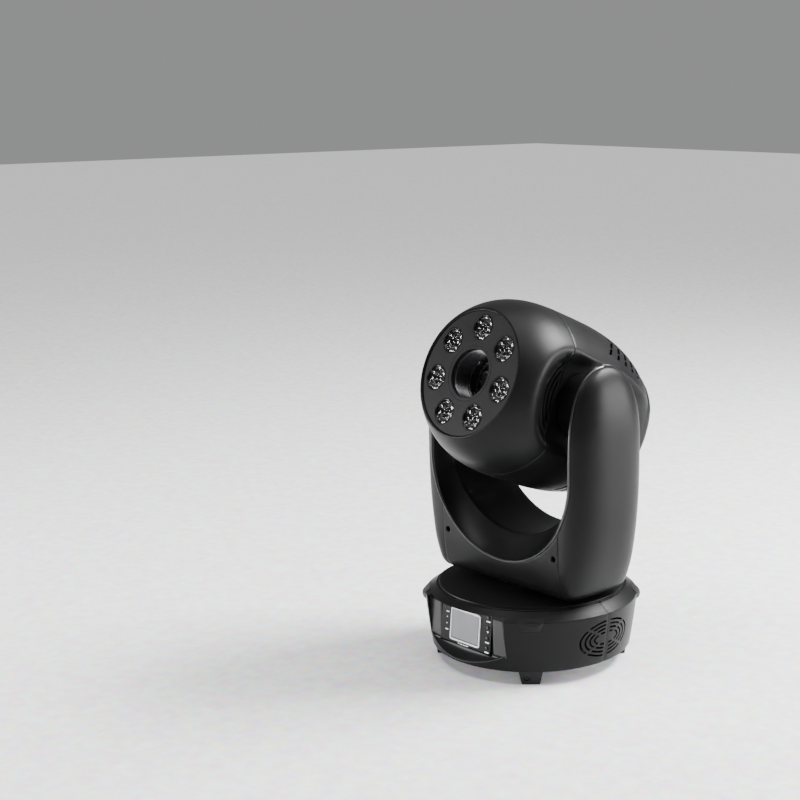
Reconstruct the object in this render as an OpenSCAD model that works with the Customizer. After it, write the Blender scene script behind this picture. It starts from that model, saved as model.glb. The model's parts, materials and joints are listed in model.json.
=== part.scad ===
// Moving head light: a round base, a U-shaped yoke that pans on it and a head that tilts in the yoke.
// Millimetres. The origin is under the middle of the base, level with the underside of the feet.
// +Z is up, the display faces -Y and the tilt axis runs along X.

/* [Base] */
// Radius of the base wall at its upper edge
base_r = 140; // [138:0.5:141]
// Height of the rubber feet, which is also the underside of the base
foot_h = 18; // [14:1:20]
// Height of the upper edge of the base wall
wall_z = 86.5; // [84:0.5:88]
// Height of the flat deck that the yoke turns above
deck_z = 100.3; // [100:0.1:101]
// Radius of the flat deck
deck_r = 122; // [118:1:122]
// Wall thickness of the moulded shells
shell_t = 3; // [2.5:0.1:3]

/* [Display] */
// Width of the raised frame round the screen
bezel_w = 53; // [50:0.5:56]
// Height of the raised frame round the screen
bezel_h = 45.4; // [44:0.2:46]
// Backward lean of the display panel in degrees
panel_lean = 5.7; // [4:0.1:6]

/* [Yoke] */
// Half of the yoke's greatest width
yoke_half_w = 151.3; // [150:0.1:154]
// Underside of the yoke
yoke_z0 = 106; // [105:0.5:107]
// Top of the arms
arm_top_z = 400; // [396:1:406]
// Distance of the arms' inner faces from the middle
arm_inner_x = 118; // [117.5:0.5:119]
// Radius of the round trough between the arms
trough_r = 130; // [129:0.5:131]
// Height of the trough's axis
trough_z = 298; // [296:1:299]

/* [Head] */
// Height of the tilt axis
tilt_z = 345; // [344:1:348]
// Upward angle of the beam at rest, in degrees
rest_tilt = 22.8; // [15:0.1:30]
// Greatest radius of the head
head_r = 113.5; // [112:0.5:114]
// Distance from the tilt axis to the front edge of the head
head_front = 118; // [116:1:119]
// Distance from the tilt axis to the back edge of the head
head_back = 135; // [132:1:136]
// Distance of the flat sides of the head from the middle
side_x = 83; // [82:0.5:84]
// Radius of the opening in front of the main lens
lens_r = 31; // [29:0.5:32]
// Radius of the circle that the small lenses stand on
led_ring_r = 58.9; // [57:0.1:60]

/* [Hidden] */
$fn = 96;

BLACK = [0.06, 0.06, 0.065];
SATIN = [0.1, 0.1, 0.105];
DARK = [0.03, 0.03, 0.035];
STEEL = [0.62, 0.63, 0.65];
ALLOY = [0.78, 0.79, 0.8];
BOARD = [0.05, 0.3, 0.14];
GLASS = [0.75, 0.82, 0.85, 0.45];

gap = 0.2;                    // seam between two moulded shells
run = 0.3;                    // space between parts that move past each other
fit = 0.05;                   // radial clearance of a shaft in its bearing
eps = 1;                      // overshoot of a cut

foot_r0 = base_r - 8.8;       // wall radius at the underside
cone_top = deck_z - 2;        // upper edge of the sloping rim
ledge_z = deck_z - 3.1;       // ledge that the deck rests on
foot_screw_x = 5;             // sideways place of the screw in a foot
bay_y = -114;                 // flat of the display bay
bay_x = 70;                   // half width of the display bay
bay_low = 37;                 // lower edge of the bay's side cheeks
bay_high = 88;                // roof of the display bay
panel_x = 46.5;               // half width of the panel's opening
panel_mid = [0, -117, 63];    // middle of the display panel's face
lcd_x = -2;                   // sideways place of the screen on the panel
button_x = 40;
button_zs = [20, 7, -6.5, -19.5];
rear_y = 106;                 // face of the connector panel
rear_x = 76;                  // half width of the connector panel
vent_mid_z = 53;

plate_z = 114;                // underside of the yoke's base plate
shaft_r = 20;                 // pan shaft
pan_pulley_r = 40;
motor_pulley_r = 8;
pan_motor_x = -82;
belt_z = 124;                 // lower edge of the pan pulleys
pulley_w = 9;
tilt_pulley_r = 28;
tilt_motor_z = 176;
tilt_belt_x = 129.5;          // inner edge of the tilt pulleys
trunnion_r = 12.5;
motor_w = 42;
motor_l = 34;
belt_t = 1.5;
rim_r = 128;                  // front rim of the trough, which also sets how far the arms flare
rim_z = 260;
seam_x = 107;                 // seams between the centre covers and the arm covers
seam_a = 44;                  // seam between the two head shells, along the beam
hub_r = 42;                   // boss on the arm that stands in the head's flat side
recess_r = 66;                // foot of the slope in front of the head's flat side
recess_b = 58;                // half height of the head's flat side
led_r = 16.5;
wheel_r = 38;
wheel_b = 30;                 // distance of each wheel's axis from the beam
beam = [0, -cos(rest_tilt), sin(rest_tilt)];

// ---------- shared shapes ----------

module ring(ro, ri, h) {
    difference() {
        cylinder(h = h, r = ro);
        translate([0, 0, -eps]) cylinder(h = h + 2 * eps, r = ri);
    }
}

module box_at(low, high) {
    translate(low) cube(high - low);
}

// Turns children from a Z axis to the given sideways direction
module along_x() {
    rotate([0, 90, 0]) children();
}

module along_y() {
    rotate([-90, 0, 0]) children();
}

module at_corners(dx, dy) {
    for (sx = [-1, 1], sy = [-1, 1]) translate([sx * dx, sy * dy, 0]) children();
}

module both_sides() {
    children();
    mirror([1, 0, 0]) children();
}

// Outline of a taut belt round two pulleys, grown outward
function belt_outline(r1, r2, d, grow) =
    let (a = acos((r1 - r2) / d), step = 5, n1 = floor((360 - 2 * a) / step), n2 = floor(2 * a / step))
    concat([for (i = [0 : n1]) let (q = a + i * (360 - 2 * a) / n1) (r1 + grow) * [cos(q), sin(q)]],
           [for (i = [0 : n2]) let (q = -a + i * 2 * a / n2) [d, 0] + (r2 + grow) * [cos(q), sin(q)]]);

module belt(r1, r2, d, w) {
    linear_extrude(w) difference() {
        polygon(belt_outline(r1, r2, d, run + belt_t));
        polygon(belt_outline(r1, r2, d, run));
    }
}

// Toothed-belt pulley between two flanges
module pulley(r, bore) {
    difference() {
        union() {
            cylinder(h = pulley_w, r = r);
            cylinder(h = 1, r = r + 2);
            translate([0, 0, pulley_w - 1]) cylinder(h = 1, r = r + 2);
        }
        translate([0, 0, -eps]) cylinder(h = pulley_w + 2 * eps, r = bore);
    }
}

// Stepper motor body with its face at z = 0 and the body below it
module motor_body() {
    chamfer = 5;
    h = motor_w / 2;
    translate([0, 0, -motor_l]) linear_extrude(motor_l)
        polygon([for (q = [0 : 3]) let (c = cos(90 * q), s = sin(90 * q))
            for (p = [[h, h - chamfer], [h - chamfer, h]]) [p[0] * c - p[1] * s, p[0] * s + p[1] * c]]);
}

// ---------- base ----------

module base_profile() {
    polygon([[foot_r0 - 1.5, foot_h], [foot_r0, foot_h + 2], [base_r, wall_z], [deck_r + 0.3, cone_top],
             [deck_r + 0.3, ledge_z], [deck_r - 8, ledge_z], [deck_r - 8, ledge_z - shell_t],
             [deck_r - 1, ledge_z - shell_t], [base_r - shell_t, wall_z - 1.6],
             [foot_r0 - shell_t, foot_h]]);
}

// Everything from the middle of the base out to half way through its wall
module base_fill() {
    rotate_extrude() polygon([[0, foot_h + 2.2], [foot_r0 - 1.3, foot_h + 2.2], [base_r - 1.3, wall_z],
                              [base_r - 5, wall_z + 3], [0, wall_z + 3]]);
}

// Tab that carries the sloping rim out over a foot
module lug() {
    intersection() {
        linear_extrude(200) polygon([[126, -16], [138, -16], [144, -8], [144, 8], [138, 16], [126, 16]]);
        rotate_extrude() polygon([[base_r - 1.6, 80.8], [145, 80.8], [145, wall_z - 3.6],
                                  [base_r - 1.6, wall_z + 1]]);
    }
}

// Points round an oval
function oval(w, h) = [for (q = [0 : 12 : 348]) [w / 2 * cos(q), h / 2 * sin(q)]];

// Four oval slot rings, broken by bridges, seen from the side
module vent_pattern() {
    slot = 2.6;
    difference() {
        for (i = [0 : 3]) difference() {
            polygon(oval(86 - 14 * i, 50 - 10.4 * i));
            polygon(oval(86 - 14 * i - 2 * slot, 50 - 10.4 * i - 2 * slot));
        }
        square([8, 60], center = true);
        for (q = [28, -28]) rotate(q) square([100, 3], center = true);
    }
}

module side_vents() {
    for (s = [-1, 1]) translate([s * base_r, 0, vent_mid_z]) rotate([90, 0, 90])
        translate([0, 0, -20]) linear_extrude(30) vent_pattern();
}

// Curved scoop under the display
module bay_scoop() {
    arc_r = 150;
    low = 22;
    intersection() {
        translate([0, -145, low + arc_r]) along_y() cylinder(h = 27, r = arc_r);
        box_at([-bay_x, -145, foot_h + 1], [bay_x, -118, bay_low + 0.5]);
    }
}

module base_shell_front() {
    color(SATIN) difference() {
        intersection() {
            union() {
                rotate_extrude() base_profile();
                for (a = [-45, -135]) rotate(a) lug();
                intersection() {
                    base_fill();
                    box_at([-bay_x - 3, -140, foot_h], [bay_x + 3, bay_y + 4.5, 100]);
                }
            }
            box_at([-150, -150, 0], [150, -gap / 2, 120]);
        }
        box_at([-bay_x, -150, bay_low], [bay_x, bay_y, bay_high - 1]);
        box_at([-panel_x, -150, 36], [panel_x, -100, bay_high]);
        bay_scoop();
        side_vents();
        front_screw_holes();
    }
}

module front_screw_holes() {
    for (a = [-20, -70, -110, -160]) rotate(a) translate([deck_r - 4, 0, 90]) cylinder(h = 12, r = 1.7);
}

module base_shell_rear() {
    color(SATIN) difference() {
        intersection() {
            union() {
                rotate_extrude() base_profile();
                for (a = [45, 135]) rotate(a) lug();
                intersection() {
                    base_fill();
                    box_at([-rear_x - 5, rear_y - 4, foot_h], [rear_x + 5, 140, 100]);
                }
            }
            box_at([-150, gap / 2, 0], [150, 150, 120]);
        }
        box_at([-rear_x - gap, rear_y, 30], [rear_x + gap, 150, 82]);
        box_at([-rear_x + 6, 90, 34], [rear_x - 6, 150, 78]);
        side_vents();
    }
}

module base_deck() {
    color(DARK) translate([0, 0, ledge_z]) difference() {
        cylinder(h = deck_z - ledge_z, r = deck_r);
        translate([0, 0, -eps]) cylinder(h = 6, r = 36);
    }
}

// Steel underside with four quarter-turn holes, a cable slot and a safety hole
module bottom_plate() {
    color(STEEL) difference() {
        translate([0, 0, foot_h]) cylinder(h = 2, r = foot_r0 - shell_t - 0.2);
        translate([0, 0, foot_h - eps]) at_corners(53, 40) cylinder(h = 4, r = 6);
        translate([0, 90, foot_h - eps]) cylinder(h = 4, r = 5);
        for (a = [45 : 90 : 315]) rotate(a) translate([112, 0, foot_h - eps]) cylinder(h = 4, r = 2.2);
    }
}

module foot() {
    intersection() {
        along_y() translate([0, 0, -20]) linear_extrude(40)
            polygon([[-11.5, 0], [11.5, 0], [15.5, -foot_h], [-15.5, -foot_h]]);
        along_x() translate([0, 0, -20]) linear_extrude(40)
            polygon([[0, -10], [0, 12.5], [-foot_h, 14.5], [-foot_h, -12]]);
    }
}

module rubber_feet() {
    color(DARK) for (a = [45 : 90 : 315]) rotate(a - 90) translate([0, 112, 0]) difference() {
        foot();
        translate([foot_screw_x, 8, foot_h / 2]) along_y() cylinder(h = 12, r = 4.5);
    }
}

module foot_screws() {
    color(STEEL) for (a = [45 : 90 : 315]) rotate(a - 90)
        translate([foot_screw_x, 120.2, foot_h / 2]) along_y() difference() {
            cylinder(h = 3, r = 3.6);
            translate([-4, -0.5, 2]) cube([8, 1, 2]);
        }
}

// ---------- display ----------

// Frame of the display panel: x across, y inward from the face, z up the panel
module on_panel() {
    translate(panel_mid) rotate([-panel_lean, 0, 0]) children();
}

module display_panel() {
    color(BLACK) on_panel() difference() {
        box_at([-panel_x + gap, 0, -26.5], [panel_x - gap, 3, 24.6]);
        box_at([lcd_x - 24.8, -eps, -20.3], [lcd_x + 24.8, 4, 20.3]);
        for (z = button_zs) translate([button_x, -eps, z]) along_y() cylinder(h = 6, r = 2.6);
        for (z = [16, 21]) translate([-40.5, -eps, z]) along_y() cylinder(h = 6, r = 1.3);
    }
}

module rounded_rect(w, h, r) {
    square([w - 2 * r, h], center = true);
    square([w, h - 2 * r], center = true);
    for (sx = [-1, 1], sz = [-1, 1]) translate([sx * (w / 2 - r), sz * (h / 2 - r)]) circle(r = r);
}

module lcd_bezel() {
    color([0.85, 0.86, 0.88]) on_panel() translate([lcd_x, 0, 0]) rotate([90, 0, 0]) linear_extrude(0.9)
        difference() {
            rounded_rect(bezel_w, bezel_h, 2.5);
            rounded_rect(bezel_w - 3, bezel_h - 3, 1.5);
        }
}

module lcd_screen() {
    color([0.5, 0.51, 0.55]) on_panel()
        box_at([lcd_x - 24.6, -0.3, -20.1], [lcd_x + 24.6, 3.4, 20.1]);
}

// Circuit board behind the display, with a key switch under each button and two indicator lamps
module display_board() {
    color(BOARD) on_panel() {
        box_at([-44, 7, -24], [44, 8.6, 22]);
        for (z = button_zs) translate([button_x, 5.4, z]) along_y() cylinder(h = 1.6, r = 3);
        box_at([lcd_x - 22, 3.6, -18], [lcd_x + 22, 7, 18]);
    }
    color([0.9, 0.92, 0.95]) on_panel() for (z = [16, 21])
        translate([-40.5, -0.3, z]) along_y() cylinder(h = 7.3, r = 1.2);
}

module button(i) {
    color(DARK) on_panel() translate([button_x, -1.4, button_zs[i]]) along_y() {
        cylinder(h = 4.6, r = 2.3);
        translate([0, 0, 4.6]) cylinder(h = 1, r = 3.4);
    }
}

// ---------- connectors ----------

PORT_XS = [-56, -24, 8, 40];
port_z = 56;

module connector_panel() {
    color(BLACK) difference() {
        box_at([-rear_x, rear_y, 30.2], [rear_x, rear_y + 1.5, 81.8]);
        for (x = PORT_XS) translate([x, rear_y - eps, port_z]) along_y() cylinder(h = 4, r = 12.2);
        translate([64, rear_y - eps, port_z]) along_y() cylinder(h = 4, r = 6.2);
    }
}

// Flange and barrel that all the panel connectors share; z = 0 is the panel's face
module connector_body(hollow) {
    difference() {
        union() {
            translate([-13, -15.5, 0]) cube([26, 31, 2.2]);
            translate([0, 0, -20]) cylinder(h = 20, r = 12);
        }
        translate([0, 0, -16]) cylinder(h = 20, r = hollow);
        for (s = [-1, 1]) translate([s * 9.5, s * 12, -eps]) cylinder(h = 5, r = 1.6);
    }
}

module port(x) {
    translate([x, rear_y + 1.5, port_z]) along_y() children();
}

module power_port(x, tint) {
    color(tint) port(x) {
        connector_body(10.8);
        translate([0, 0, -16]) cylinder(h = 16.5, r = 7.5);
    }
}

module power_inlet() {
    power_port(PORT_XS[0], [0.1, 0.25, 0.6]);
}

module power_outlet() {
    power_port(PORT_XS[1], [0.6, 0.62, 0.65]);
}

module dmx_input() {
    color(STEEL) port(PORT_XS[2]) {
        connector_body(9.4);
        for (a = [30, 150, 270]) rotate(a) translate([5.6, 0, -16]) cylinder(h = 13, r = 1.2);
    }
}

module dmx_output() {
    color(STEEL) port(PORT_XS[3]) {
        connector_body(9.6);
        translate([0, 0, -16]) difference() {
            cylinder(h = 16.8, r = 9.6);
            for (a = [30, 150, 270]) rotate(a) translate([5.6, 0, 5]) cylinder(h = 13, r = 1.4);
        }
    }
}

module fuse_holder() {
    color(BLACK) translate([64, rear_y + 1.5, port_z]) along_y() difference() {
        union() {
            cylinder(h = 3, r = 8);
            translate([0, 0, -24]) cylinder(h = 24, r = 6);
            translate([0, 0, 3]) cylinder(h = 5, r = 5.5);
        }
        translate([-6, -0.8, 6.5]) cube([12, 1.6, 3]);
    }
}

// ---------- inside the base ----------

module base_frame() {
    color(STEEL) difference() {
        union() {
            translate([0, 0, 90]) cylinder(h = 3, r = 70);
            for (a = [45 : 90 : 315]) rotate(a) translate([60, 0, foot_h + 2]) cylinder(h = 70, r = 5);
        }
        translate([0, 0, 85]) cylinder(h = 10, r = 14);
    }
}

module power_supply() {
    color(ALLOY) box_at([-34, -30, foot_h + 2], [34, 84, foot_h + 42]);
}

module main_board() {
    color(BOARD) {
        box_at([-95, -32, foot_h + 8], [-52, 32, foot_h + 9.6]);
        box_at([-90, -28, foot_h + 9.6], [-76, -8, foot_h + 22]);
        box_at([-70, 4, foot_h + 9.6], [-58, 26, foot_h + 16]);
        for (sx = [-92, -55], sy = [-29, 29]) translate([sx, sy, foot_h + 2]) cylinder(h = 6, r = 2.5);
    }
}

fan_x = 106;
fan_w = 60;

module base_fan_housing() {
    color(BLACK) translate([fan_x, 0, vent_mid_z]) along_x() difference() {
        translate([-fan_w / 2, -fan_w / 2, 0]) cube([fan_w, fan_w, 14]);
        translate([0, 0, 2]) cylinder(h = 20, r = 28);
        translate([0, 0, -eps]) ring(27, 13, 5);
        at_corners(25, 25) translate([0, 0, -eps]) cylinder(h = 20, r = 2.1);
    }
}

// Hub and flat blades, turning about z
module rotor(r, hub, h, blades) {
    cylinder(h = h, r = hub);
    for (i = [0 : blades - 1]) rotate(360 * i / blades) translate([0, 0, h / 2]) rotate([35, 0, 0])
        translate([hub - 1, -0.6, -h * 0.4]) cube([r - hub + 1, 1.2, h * 0.8]);
}

module base_fan_rotor() {
    color(BLACK) translate([fan_x + 2.5, 0, vent_mid_z]) along_x() rotor(26.5, 11, 9, 7);
}

// Hollow shaft with its flange below and its nut above
module pan_shaft() {
    color(STEEL) translate([0, 0, 93]) difference() {
        union() {
            cylinder(h = 4, r = 34);
            cylinder(h = 57, r = shaft_r);
        }
        translate([0, 0, -eps]) cylinder(h = 60, r = 14);
        for (a = [0 : 60 : 300]) rotate(a) translate([28, 0, -eps]) cylinder(h = 6, r = 2.2);
    }
    color(STEEL) translate([0, 0, belt_z + pulley_w + 1]) ring(26, shaft_r + 0.02, 6);
}

module pan_pulley() {
    color(ALLOY) translate([0, 0, belt_z]) pulley(pan_pulley_r, shaft_r + 0.02);
}

// ---------- yoke ----------

// Half width of the yoke, seen from the front, at height z
function yoke_w(z) =
    z < 250 ? yoke_half_w - 24 * pow((250 - z) / 143, 2.3)
    : z < 300 ? yoke_half_w
    : yoke_half_w - 27 * (1 - sqrt(1 - pow((z - 300) / (arm_top_z - 299), 2)));
// Half depth of the yoke, seen from the side, at height z
function yoke_d(z) =
    z < 160 ? 59 - 9 * pow((160 - z) / (160 - yoke_z0), 2)
    : z < 260 ? 59 + 3 * (z - 160) / 100
    : z < 295 ? 62
    : 62 * pow(max(0, 1 - pow((z - 295) / (arm_top_z - 295), 2.6)), 1 / 2.6);
corner = 12;
// Heights at which the outline is stepped, closer together near the top
function levels(t) = concat([for (z = [yoke_z0 + corner : 14 : 244]) z], [250, 262, 280],
                            [for (a = [0 : 7.5 : 82.5]) 295 + (arm_top_z - 295 - t) * sin(a)]);

function front_side(t) = concat(
    [for (a = [-90 : 15 : 0]) [yoke_w(yoke_z0 + corner) - corner + (corner - t) * cos(a),
                               yoke_z0 + corner + (corner - t) * sin(a)]],
    [for (z = levels(t)) if (z > yoke_z0 + corner) [yoke_w(z) - t, z]], [[arm_inner_x, arm_top_z - t]]);

module mirrored_outline(side) {
    n = len(side);
    polygon(concat(side, [for (i = [n - 1 : -1 : 0]) [-side[i][0], side[i][1]]]));
}

// Outline of the yoke from the side; its half depth is never below half a millimetre
function depth_side(t) = concat([[yoke_d(yoke_z0) - t, yoke_z0 + t]],
    [for (z = levels(0)) let (zz = z > 295 ? 295 + (z - 295) * (arm_top_z - 295 - t) / (arm_top_z - 295) : z)
        [max(0.5, yoke_d(z) - t), zz]], [[0.5, arm_top_z - t]]);

module yoke_block(t) {
    intersection() {
        rotate([90, 0, 0]) translate([0, 0, -80]) linear_extrude(160) mirrored_outline(front_side(t));
        rotate([90, 0, 90]) translate([0, 0, -160]) linear_extrude(320) mirrored_outline(depth_side(t));
    }
}

// Outline of a round-bottomed opening, seen from the front
module u_shape(r, z, half) {
    intersection() {
        translate([0, z]) {
            circle(r = r);
            translate([-200, 0]) square([400, 200]);
        }
        translate([-half, 100]) square([2 * half, 400]);
    }
}

// The space between the arms: a round-bottomed trough that flares out to a lower rim at the front
module yoke_space(t) {
    rotate([90, 0, 0]) translate([0, 0, -90]) linear_extrude(180)
        u_shape(trough_r + t, trough_z, arm_inner_x + t);
    hull() {
        translate([0, -32, 0]) rotate([90, 0, 0]) linear_extrude(0.1)
            u_shape(trough_r + t, trough_z, arm_inner_x + t);
        translate([0, -67, 0]) rotate([90, 0, 0]) linear_extrude(0.1)
            u_shape(rim_r + t, rim_z, rim_r + t);
    }
}

module yoke_shell() {
    difference() {
        yoke_block(0);
        yoke_space(0);
        difference() {
            yoke_block(shell_t);
            yoke_space(shell_t);
        }
        translate([0, 0, yoke_z0 - eps]) cylinder(h = 10, r = 40);
    }
}

module cover_screw_spots(depth) {
    for (sx = [-1, 1], sy = [-1, 1]) translate([sx * 97.7, sy * 45, 160.3])
        rotate([sy > 0 ? -90 : 90, 0, 0]) children();
}

module yoke_cover(front) {
    color(SATIN) difference() {
        intersection() {
            yoke_shell();
            box_at([-seam_x, front ? -80 : gap, 90], [seam_x, front ? -gap : 80, 300]);
        }
        cover_screw_spots() cylinder(h = 30, r = 3.3);
    }
}

module yoke_cover_front() {
    yoke_cover(true);
}

module yoke_cover_rear() {
    yoke_cover(false);
}

// Space on the inner side of an arm that its inner panel fills
module panel_zone(t) {
    rotate([90, 0, 90]) linear_extrude(arm_inner_x + shell_t + t) intersection() {
        mirrored_outline(depth_side(shell_t + 0.5 - t));
        translate([-100, 235 - t]) square([200, 300]);
    }
}

module arm_cover() {
    color(SATIN) difference() {
        intersection() {
            yoke_shell();
            box_at([seam_x + gap, -80, 90], [170, 80, 420]);
        }
        panel_zone(gap);
    }
}

module arm_cover_right() {
    arm_cover();
}

module arm_cover_left() {
    mirror([1, 0, 0]) arm_cover();
}

hub_x = 86;                   // inner end of the arm's hub boss

module arm_panel() {
    color(BLACK) difference() {
        union() {
            intersection() {
                yoke_shell();
                panel_zone(0);
                box_at([seam_x + gap, -80, 90], [170, 80, 420]);
            }
            translate([hub_x, 0, tilt_z]) along_x() cylinder(h = arm_inner_x - hub_x + eps, r = hub_r);
        }
        translate([hub_x + shell_t, 0, tilt_z]) along_x() cylinder(h = 40, r = hub_r - shell_t);
        translate([hub_x - eps, 0, tilt_z]) along_x() cylinder(h = 40, r = trunnion_r + 1.5);
        for (y = [-50, 50]) translate([100, y, 321]) along_x() cylinder(h = 30, r = 2);
    }
}

module arm_panel_right() {
    arm_panel();
}

module arm_panel_left() {
    mirror([1, 0, 0]) arm_panel();
}

module yoke_base_plate() {
    color(STEEL) difference() {
        union() {
            box_at([-104, -38, plate_z], [104, 38, plate_z + 3]);
            translate([0, 0, plate_z - 4]) cylinder(h = 12, r = 32);
        }
        translate([0, 0, plate_z - 3]) cylinder(h = 20, r = 26.02);
        translate([0, 0, plate_z - 6]) cylinder(h = 20, r = 22);
        for (sx = [-1, 1]) translate([sx * 60, 0, plate_z - eps]) cylinder(h = 6, r = 8);
    }
}

module pan_bearing() {
    color(ALLOY) translate([0, 0, plate_z - 3 + 0.02]) {
        ring(26, 24, 7);
        ring(22, shaft_r + fit, 7);
        translate([0, 0, 1]) ring(24, 22, 5);
    }
}

// Bent steel plate that carries one end of the tilt axis
module arm_plate() {
    x = 122;
    color(STEEL) difference() {
        rotate([90, 0, 0]) translate([0, 0, -28]) linear_extrude(56)
            polygon([[88, plate_z + 3], [108, plate_z + 3], [x + 3, 134], [x + 3, 375], [x, 375],
                     [x, 135.2], [106.8, plate_z + 6], [88, plate_z + 6]]);
        translate([x - eps, 0, tilt_z]) along_x() cylinder(h = 6, r = 18.52);
        translate([x - eps, 0, tilt_motor_z]) along_x() cylinder(h = 6, r = 12);
        translate([x - eps, 0, 250]) along_x() cylinder(h = 6, r = 16);
    }
}

module arm_plate_right() {
    arm_plate();
}

module arm_plate_left() {
    mirror([1, 0, 0]) arm_plate();
}

module tilt_bearings() {
    color(ALLOY) both_sides() translate([121.2, 0, tilt_z]) along_x() {
        ring(18.5, trunnion_r + fit, 7);
        translate([0, 0, 4]) ring(20.5, 18, 3);
    }
}

module cover_screws() {
    color(STEEL) cover_screw_spots() {
        translate([0, 0, 6]) cylinder(h = 2.5, r = 3);
        translate([0, 0, -4]) cylinder(h = 10, r = 1.6);
    }
}

module pan_motor() {
    color(DARK) translate([pan_motor_x, 0, belt_z + pulley_w + 4]) {
        rotate([180, 0, 0]) motor_body();
        for (s = [-1, 1]) box_at([-19, s * 17 - 4, -17], [-7, s * 17 + 4, 0]);
    }
}

module motor_pulley() {
    pulley(motor_pulley_r, 2.4);
    cylinder(h = pulley_w + 3.5, r = 2.5);
}

module pan_motor_pulley() {
    color(ALLOY) translate([pan_motor_x, 0, belt_z]) motor_pulley();
}

module pan_belt() {
    color(DARK) translate([0, 0, belt_z + 1 + run]) rotate(180)
        belt(pan_pulley_r, motor_pulley_r, -pan_motor_x, pulley_w - 2 - 2 * run);
}

module tilt_motor() {
    color(DARK) translate([122, 0, tilt_motor_z]) along_x() {
        motor_body();
        cylinder(h = 4, r = 11);
    }
}

module tilt_motor_pulley() {
    color(ALLOY) translate([tilt_belt_x, 0, tilt_motor_z]) along_x() {
        pulley(motor_pulley_r, 2.4);
        translate([0, 0, -3]) cylinder(h = pulley_w + 3, r = 2.5);
    }
}

module tilt_belt() {
    color(DARK) translate([tilt_belt_x + 1 + run, 0, tilt_z]) rotate([0, 90, 0])
        belt(tilt_pulley_r, motor_pulley_r, tilt_z - tilt_motor_z, pulley_w - 2 - 2 * run);
}

// ---------- head ----------

// Frame of the beam: z along the beam from the tilt axis, y up across it
module on_beam() {
    translate([0, 0, tilt_z]) rotate([90 - rest_tilt, 0, 0]) children();
}

// Radius of the head at distance a along the beam
function head_w(a) =
    a > 0 ? head_r * (1 - 0.262 * pow(a / 118, 3.6)) : head_r * (1 - 0.235 * pow(-a / 135, 3));
back_r = 14;                  // rounding of the head's back edge

module head_block(t) {
    wall = [for (a = [head_front : -8 : -head_back + 1]) [head_w(a) - t, a]];
    edge = head_w(-head_back);
    turn = [for (q = [0 : 15 : 90])
        [edge - back_r + (back_r - t) * cos(q), -head_back - (back_r - t) * sin(q)]];
    difference() {
        rotate_extrude() polygon(concat([[0, head_front]], wall, turn, [[0, -head_back - back_r + t]]));
        both_sides() translate([side_x - t, 0, 0]) rotate([0, 90, 0]) {
            intersection() {
                cylinder(h = 60, r1 = recess_r + t, r2 = recess_r + 80 + t);
                translate([-150, -recess_b - t, 0]) cube([150, 2 * (recess_b + t), 60]);
            }
            translate([-eps, -recess_b - t, 0]) cube([200, 2 * (recess_b + t), 60]);
        }
    }
}

// Slots in the spine of the rear shell, above and below, wider towards the back and broken by ribs
module spine_vents() {
    slot = 4.6;
    for (i = [0 : 5], up = [0, 180]) rotate(up) translate([0, 0, -75.3 - 9.8 * i]) linear_extrude(slot) {
        reach = 38 + 2.8 * i;
        for (s = [-1, 1], q = [[2, 17], [18.5, reach - 8.5], [reach - 7, reach]])
            polygon([for (p = [[80, q[0]], [125, q[0]], [125, q[1]], [80, q[1]]])
                [s * p[0] * sin(p[1]), p[0] * cos(p[1])]]);
    }
}

// Three arc grooves in the front shell, round the foot of each slope
module side_grooves() {
    both_sides() translate([side_x - 1.6, 0, 0]) rotate([0, 90, 0]) intersection() {
        for (r = [50.5, 57, 63.5]) ring(r + 1.3, r - 1.3, 12);
        translate([-80, -70, -1]) cube([80 - seam_a - 3, 140, 20]);
    }
}

module head_shell() {
    difference() {
        head_block(0);
        head_block(shell_t);
        translate([0, 0, head_front - 6]) cylinder(h = 10, r = 83.5);
        side_grooves();
        translate([-100, 0, 0]) rotate([0, 90, 0]) cylinder(h = 200, r = trunnion_r + 1);
    }
}

module head_shell_front() {
    color(SATIN) on_beam() difference() {
        intersection() {
            head_shell();
            translate([0, 0, seam_a + gap / 2]) cylinder(h = 100, r = 130);
        }
    }
}

module head_shell_rear() {
    color(SATIN) on_beam() difference() {
        intersection() {
            head_shell();
            translate([0, 0, -200]) cylinder(h = 200 + seam_a - gap / 2, r = 130);
        }
        spine_vents();
        translate([0, 0, -160]) difference() {
            for (r = [18 : 10 : 58]) ring(r + 3, r - 3, 30);
            for (q = [0 : 60 : 120]) rotate(q) translate([-80, -3, -eps]) cube([160, 6, 40]);
        }
    }
}

module at_leds() {
    for (i = [0 : 6]) rotate(360 * i / 7) translate([0, led_ring_r, 0]) children();
}

module face_ring() {
    color(BLACK) on_beam() translate([0, 0, head_front - 6]) difference() {
        ring(83.4, 80.6, 6);
        translate([0, 0, 5]) ring(82.4, 81.6, 2);
    }
}

module face_plate() {
    color(SATIN) on_beam() translate([0, 0, head_front - 6]) difference() {
        cylinder(h = 4, r = 80.4);
        translate([0, 0, -eps]) cylinder(h = 6, r = lens_r);
        at_leds() translate([0, 0, -eps]) cylinder(h = 6, r = led_r);
    }
}

module led_cups() {
    color(DARK) on_beam() at_leds() translate([0, 0, 100]) {
        ring(led_r - 0.2, led_r - 1.4, 15);
        ring(led_r - 0.2, 6.8, 1);
    }
}

module led_lenses() {
    color(GLASS) on_beam() at_leds() translate([0, 0, 99]) {
        cylinder(h = 11, r1 = 4.8, r2 = 13.8);
        translate([0, 0, 11]) cylinder(h = 1.5, r = 14.6);
    }
}

module led_board() {
    color(BOARD) on_beam() translate([0, 0, 96]) ring(80, 35, 1.6);
}

module lens_barrel() {
    color(BLACK) on_beam() {
        translate([0, 0, 52]) ring(lens_r + 2.5, lens_r, head_front - 58);
        translate([0, 0, 84]) ring(lens_r, lens_r - 3, 3);
        translate([0, 0, 52]) ring(lens_r + 12, lens_r + 2.5, 2);
    }
}

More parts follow.
